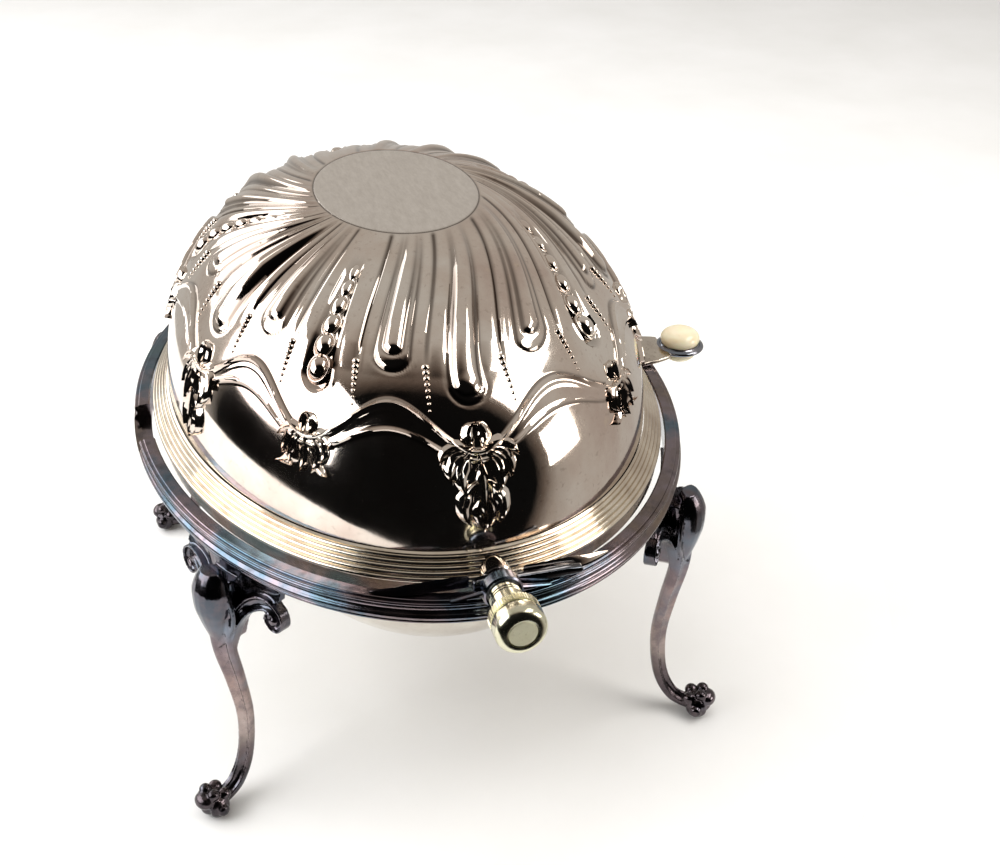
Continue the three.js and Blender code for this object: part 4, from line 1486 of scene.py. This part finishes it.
def dish_form():
    """The bowl's sheet as rings across it, each out along the outside and back along the inside."""
    rings = []
    for turn in np.linspace(0.03, math.pi - 0.03, 97):
        x = -DISH_REACH * math.cos(turn)
        outer = dish_radius(x)
        inner = max(outer - SHEET, 0.4 * outer)
        swing = math.acos(min(0.7, (AXIS_Z - DISH_MOUTH) / outer))
        ring = []
        for radius, start in ((outer, -swing), (inner, swing)):
            for t in np.linspace(start, -start, 49):
                ring.append((x, radius * math.sin(t), AXIS_Z - radius * math.cos(t)))
        rings.append(ring)
    return loft(rings)


def band(sections):
    """A closed band: each section is a ring of points, and the last one meets the first."""
    count = len(sections[0])
    points = [tuple(point) for section in sections for point in section]
    faces = []
    for i in range(len(sections)):
        after = (i + 1) % len(sections)
        for j in range(count):
            k = (j + 1) % count
            faces.append((i * count + j, i * count + k, after * count + k, after * count + j))
    return points, faces


liner_low, liner_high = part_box("food_liner")
LINER_WALL = 7.0 * MM
mouth_long, mouth_short = liner_high.x - LINER_WALL, liner_high.y - LINER_WALL


def deck_form():
    """The flat deck: its outer edge meets the bowl, and the lip of its opening is turned down."""
    sections = []
    deck_bottom = DISH_MOUTH - SHEET
    lip_bottom = deck_bottom - 1.5 * MM
    for turn in np.linspace(0, 2 * math.pi, 192, endpoint=False):
        across, along = math.sin(turn), math.cos(turn)
        x = 123 * MM * along
        y = math.copysign(min(1, abs(across) * 12), across) * (dish_radius(x) - 0.3 * MM)
        inner_x, inner_y = (mouth_long + 1 * MM) * along, (mouth_short + 1 * MM) * across
        lip_x, lip_y = (mouth_long + 1.6 * MM) * along, (mouth_short + 1.6 * MM) * across
        sections.append(
            [
                (x, y, deck_bottom), (x, y, DISH_MOUTH), (lip_x, lip_y, DISH_MOUTH),
                (inner_x, inner_y, DISH_MOUTH - 0.5 * MM), (inner_x, inner_y, lip_bottom),
                (lip_x, lip_y, lip_bottom),
            ]
        )
    return band(sections)


inner_dish = solid_piece("inner_dish", [dish_form(), deck_form()])
fit(inner_dish, 40, dish_silver, "frame", "silver_dish", "base_dish")
boss_profile = [
    (122 * MM, 0), (122 * MM, 4.6 * MM), (126 * MM, 5.0 * MM),
    (127.5 * MM, ear_radius), (136.8 * MM, ear_radius),
    (dish_high.x, ear_radius - 1.0 * MM), (dish_high.x, PIN_BORE), (130 * MM, PIN_BORE), (130 * MM, 0),
]
for end, side_name in ENDS:
    boss = turned_on_pivot(f"dish_boss_{side_name}", end, boss_profile, 48)
    fit(boss, 35, dish_silver, "frame", "silver_dish")

# ---------------------------------------------------------------- liner and drainer
# An oval liner hangs in the deck by its flange, with a rolled edge. A pierced oval plate lies in it
# to drain the food.
FLANGE_OUT = liner_high.y


def liner_section():
    """The liner's section: up the outside, round the flange's rolled edge and down the inside."""
    top = liner_high.z
    depth = top - liner_low.z
    wall = 1.3 * MM
    roll = 0.6 * MM
    flange_top = top - 0.1 * MM
    flange_bottom = top - 2 * roll
    outer, inner = [], []
    for t in np.linspace(0, math.pi / 2, 26):
        out, up = math.sin(t) ** 0.85, math.cos(t) ** 0.85
        outer.append((mouth_short * out, top - depth * up))
        inner.append(((mouth_short - wall) * out, top - (depth - wall) * up))
    return [
        *outer[:-1], (mouth_short, flange_bottom), (FLANGE_OUT - 1.0 * MM, flange_bottom),
        *arc((FLANGE_OUT - roll, top - roll), roll, -90, 90, 7),
        (FLANGE_OUT - 1.3 * MM, flange_top), (mouth_short + 1.4 * MM, flange_top), *reversed(inner),
    ]


def liner_piece():
    """The liner spun round, then drawn out along X; only the part past the bowl's mouth shifts."""
    bowl = spun("oval_liner", [(0, -radius, height) for radius, height in liner_section()], steps=160)
    for vertex in bowl.data.vertices:
        radius = math.hypot(vertex.co.x, vertex.co.y)
        if radius > mouth_short:
            vertex.co.x += (mouth_long - mouth_short) * vertex.co.x / radius
        else:
            vertex.co.x *= mouth_long / mouth_short
    return bowl


liner = liner_piece()
fit(liner, 40, dish_silver, "liner", "silver_dish", "food_liner")

plate_low, plate_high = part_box("drainer")


def oval(long, short, height, count):
    """Points round an oval at one height."""
    turns = np.linspace(0, 2 * math.pi, count, endpoint=False)
    return [Vector((long * math.cos(t), short * math.sin(t), height)) for t in turns]


def drainer_piece():
    """The oval plate with three rings of round holes punched through it."""
    outline = oval(plate_high.x, plate_high.y, plate_low.z, 120)
    sheet = slab("pierced_drainer", outline, (0, 0, plate_high.z - plate_low.z), 0.4 * MM)
    hole = 2.6 * MM
    clear = 1 * MM
    punches = []
    for share, count in ((0.28, 6), (0.55, 10), (0.8, 16)):
        for centre in oval(share * plate_high.x, share * plate_high.y, 0, count):
            ends = (plate_low.z - clear, plate_high.z + clear)
            rings = [oval(hole, hole, height, 24) for height in ends]
            punches.append(loft([[centre + point for point in ring] for ring in rings]))
    cut_away(sheet, solid_piece("punches", punches))
    return sheet


drain = drainer_piece()
fit(drain, 35, dish_silver, "drainer", "silver_dish", "drainer")
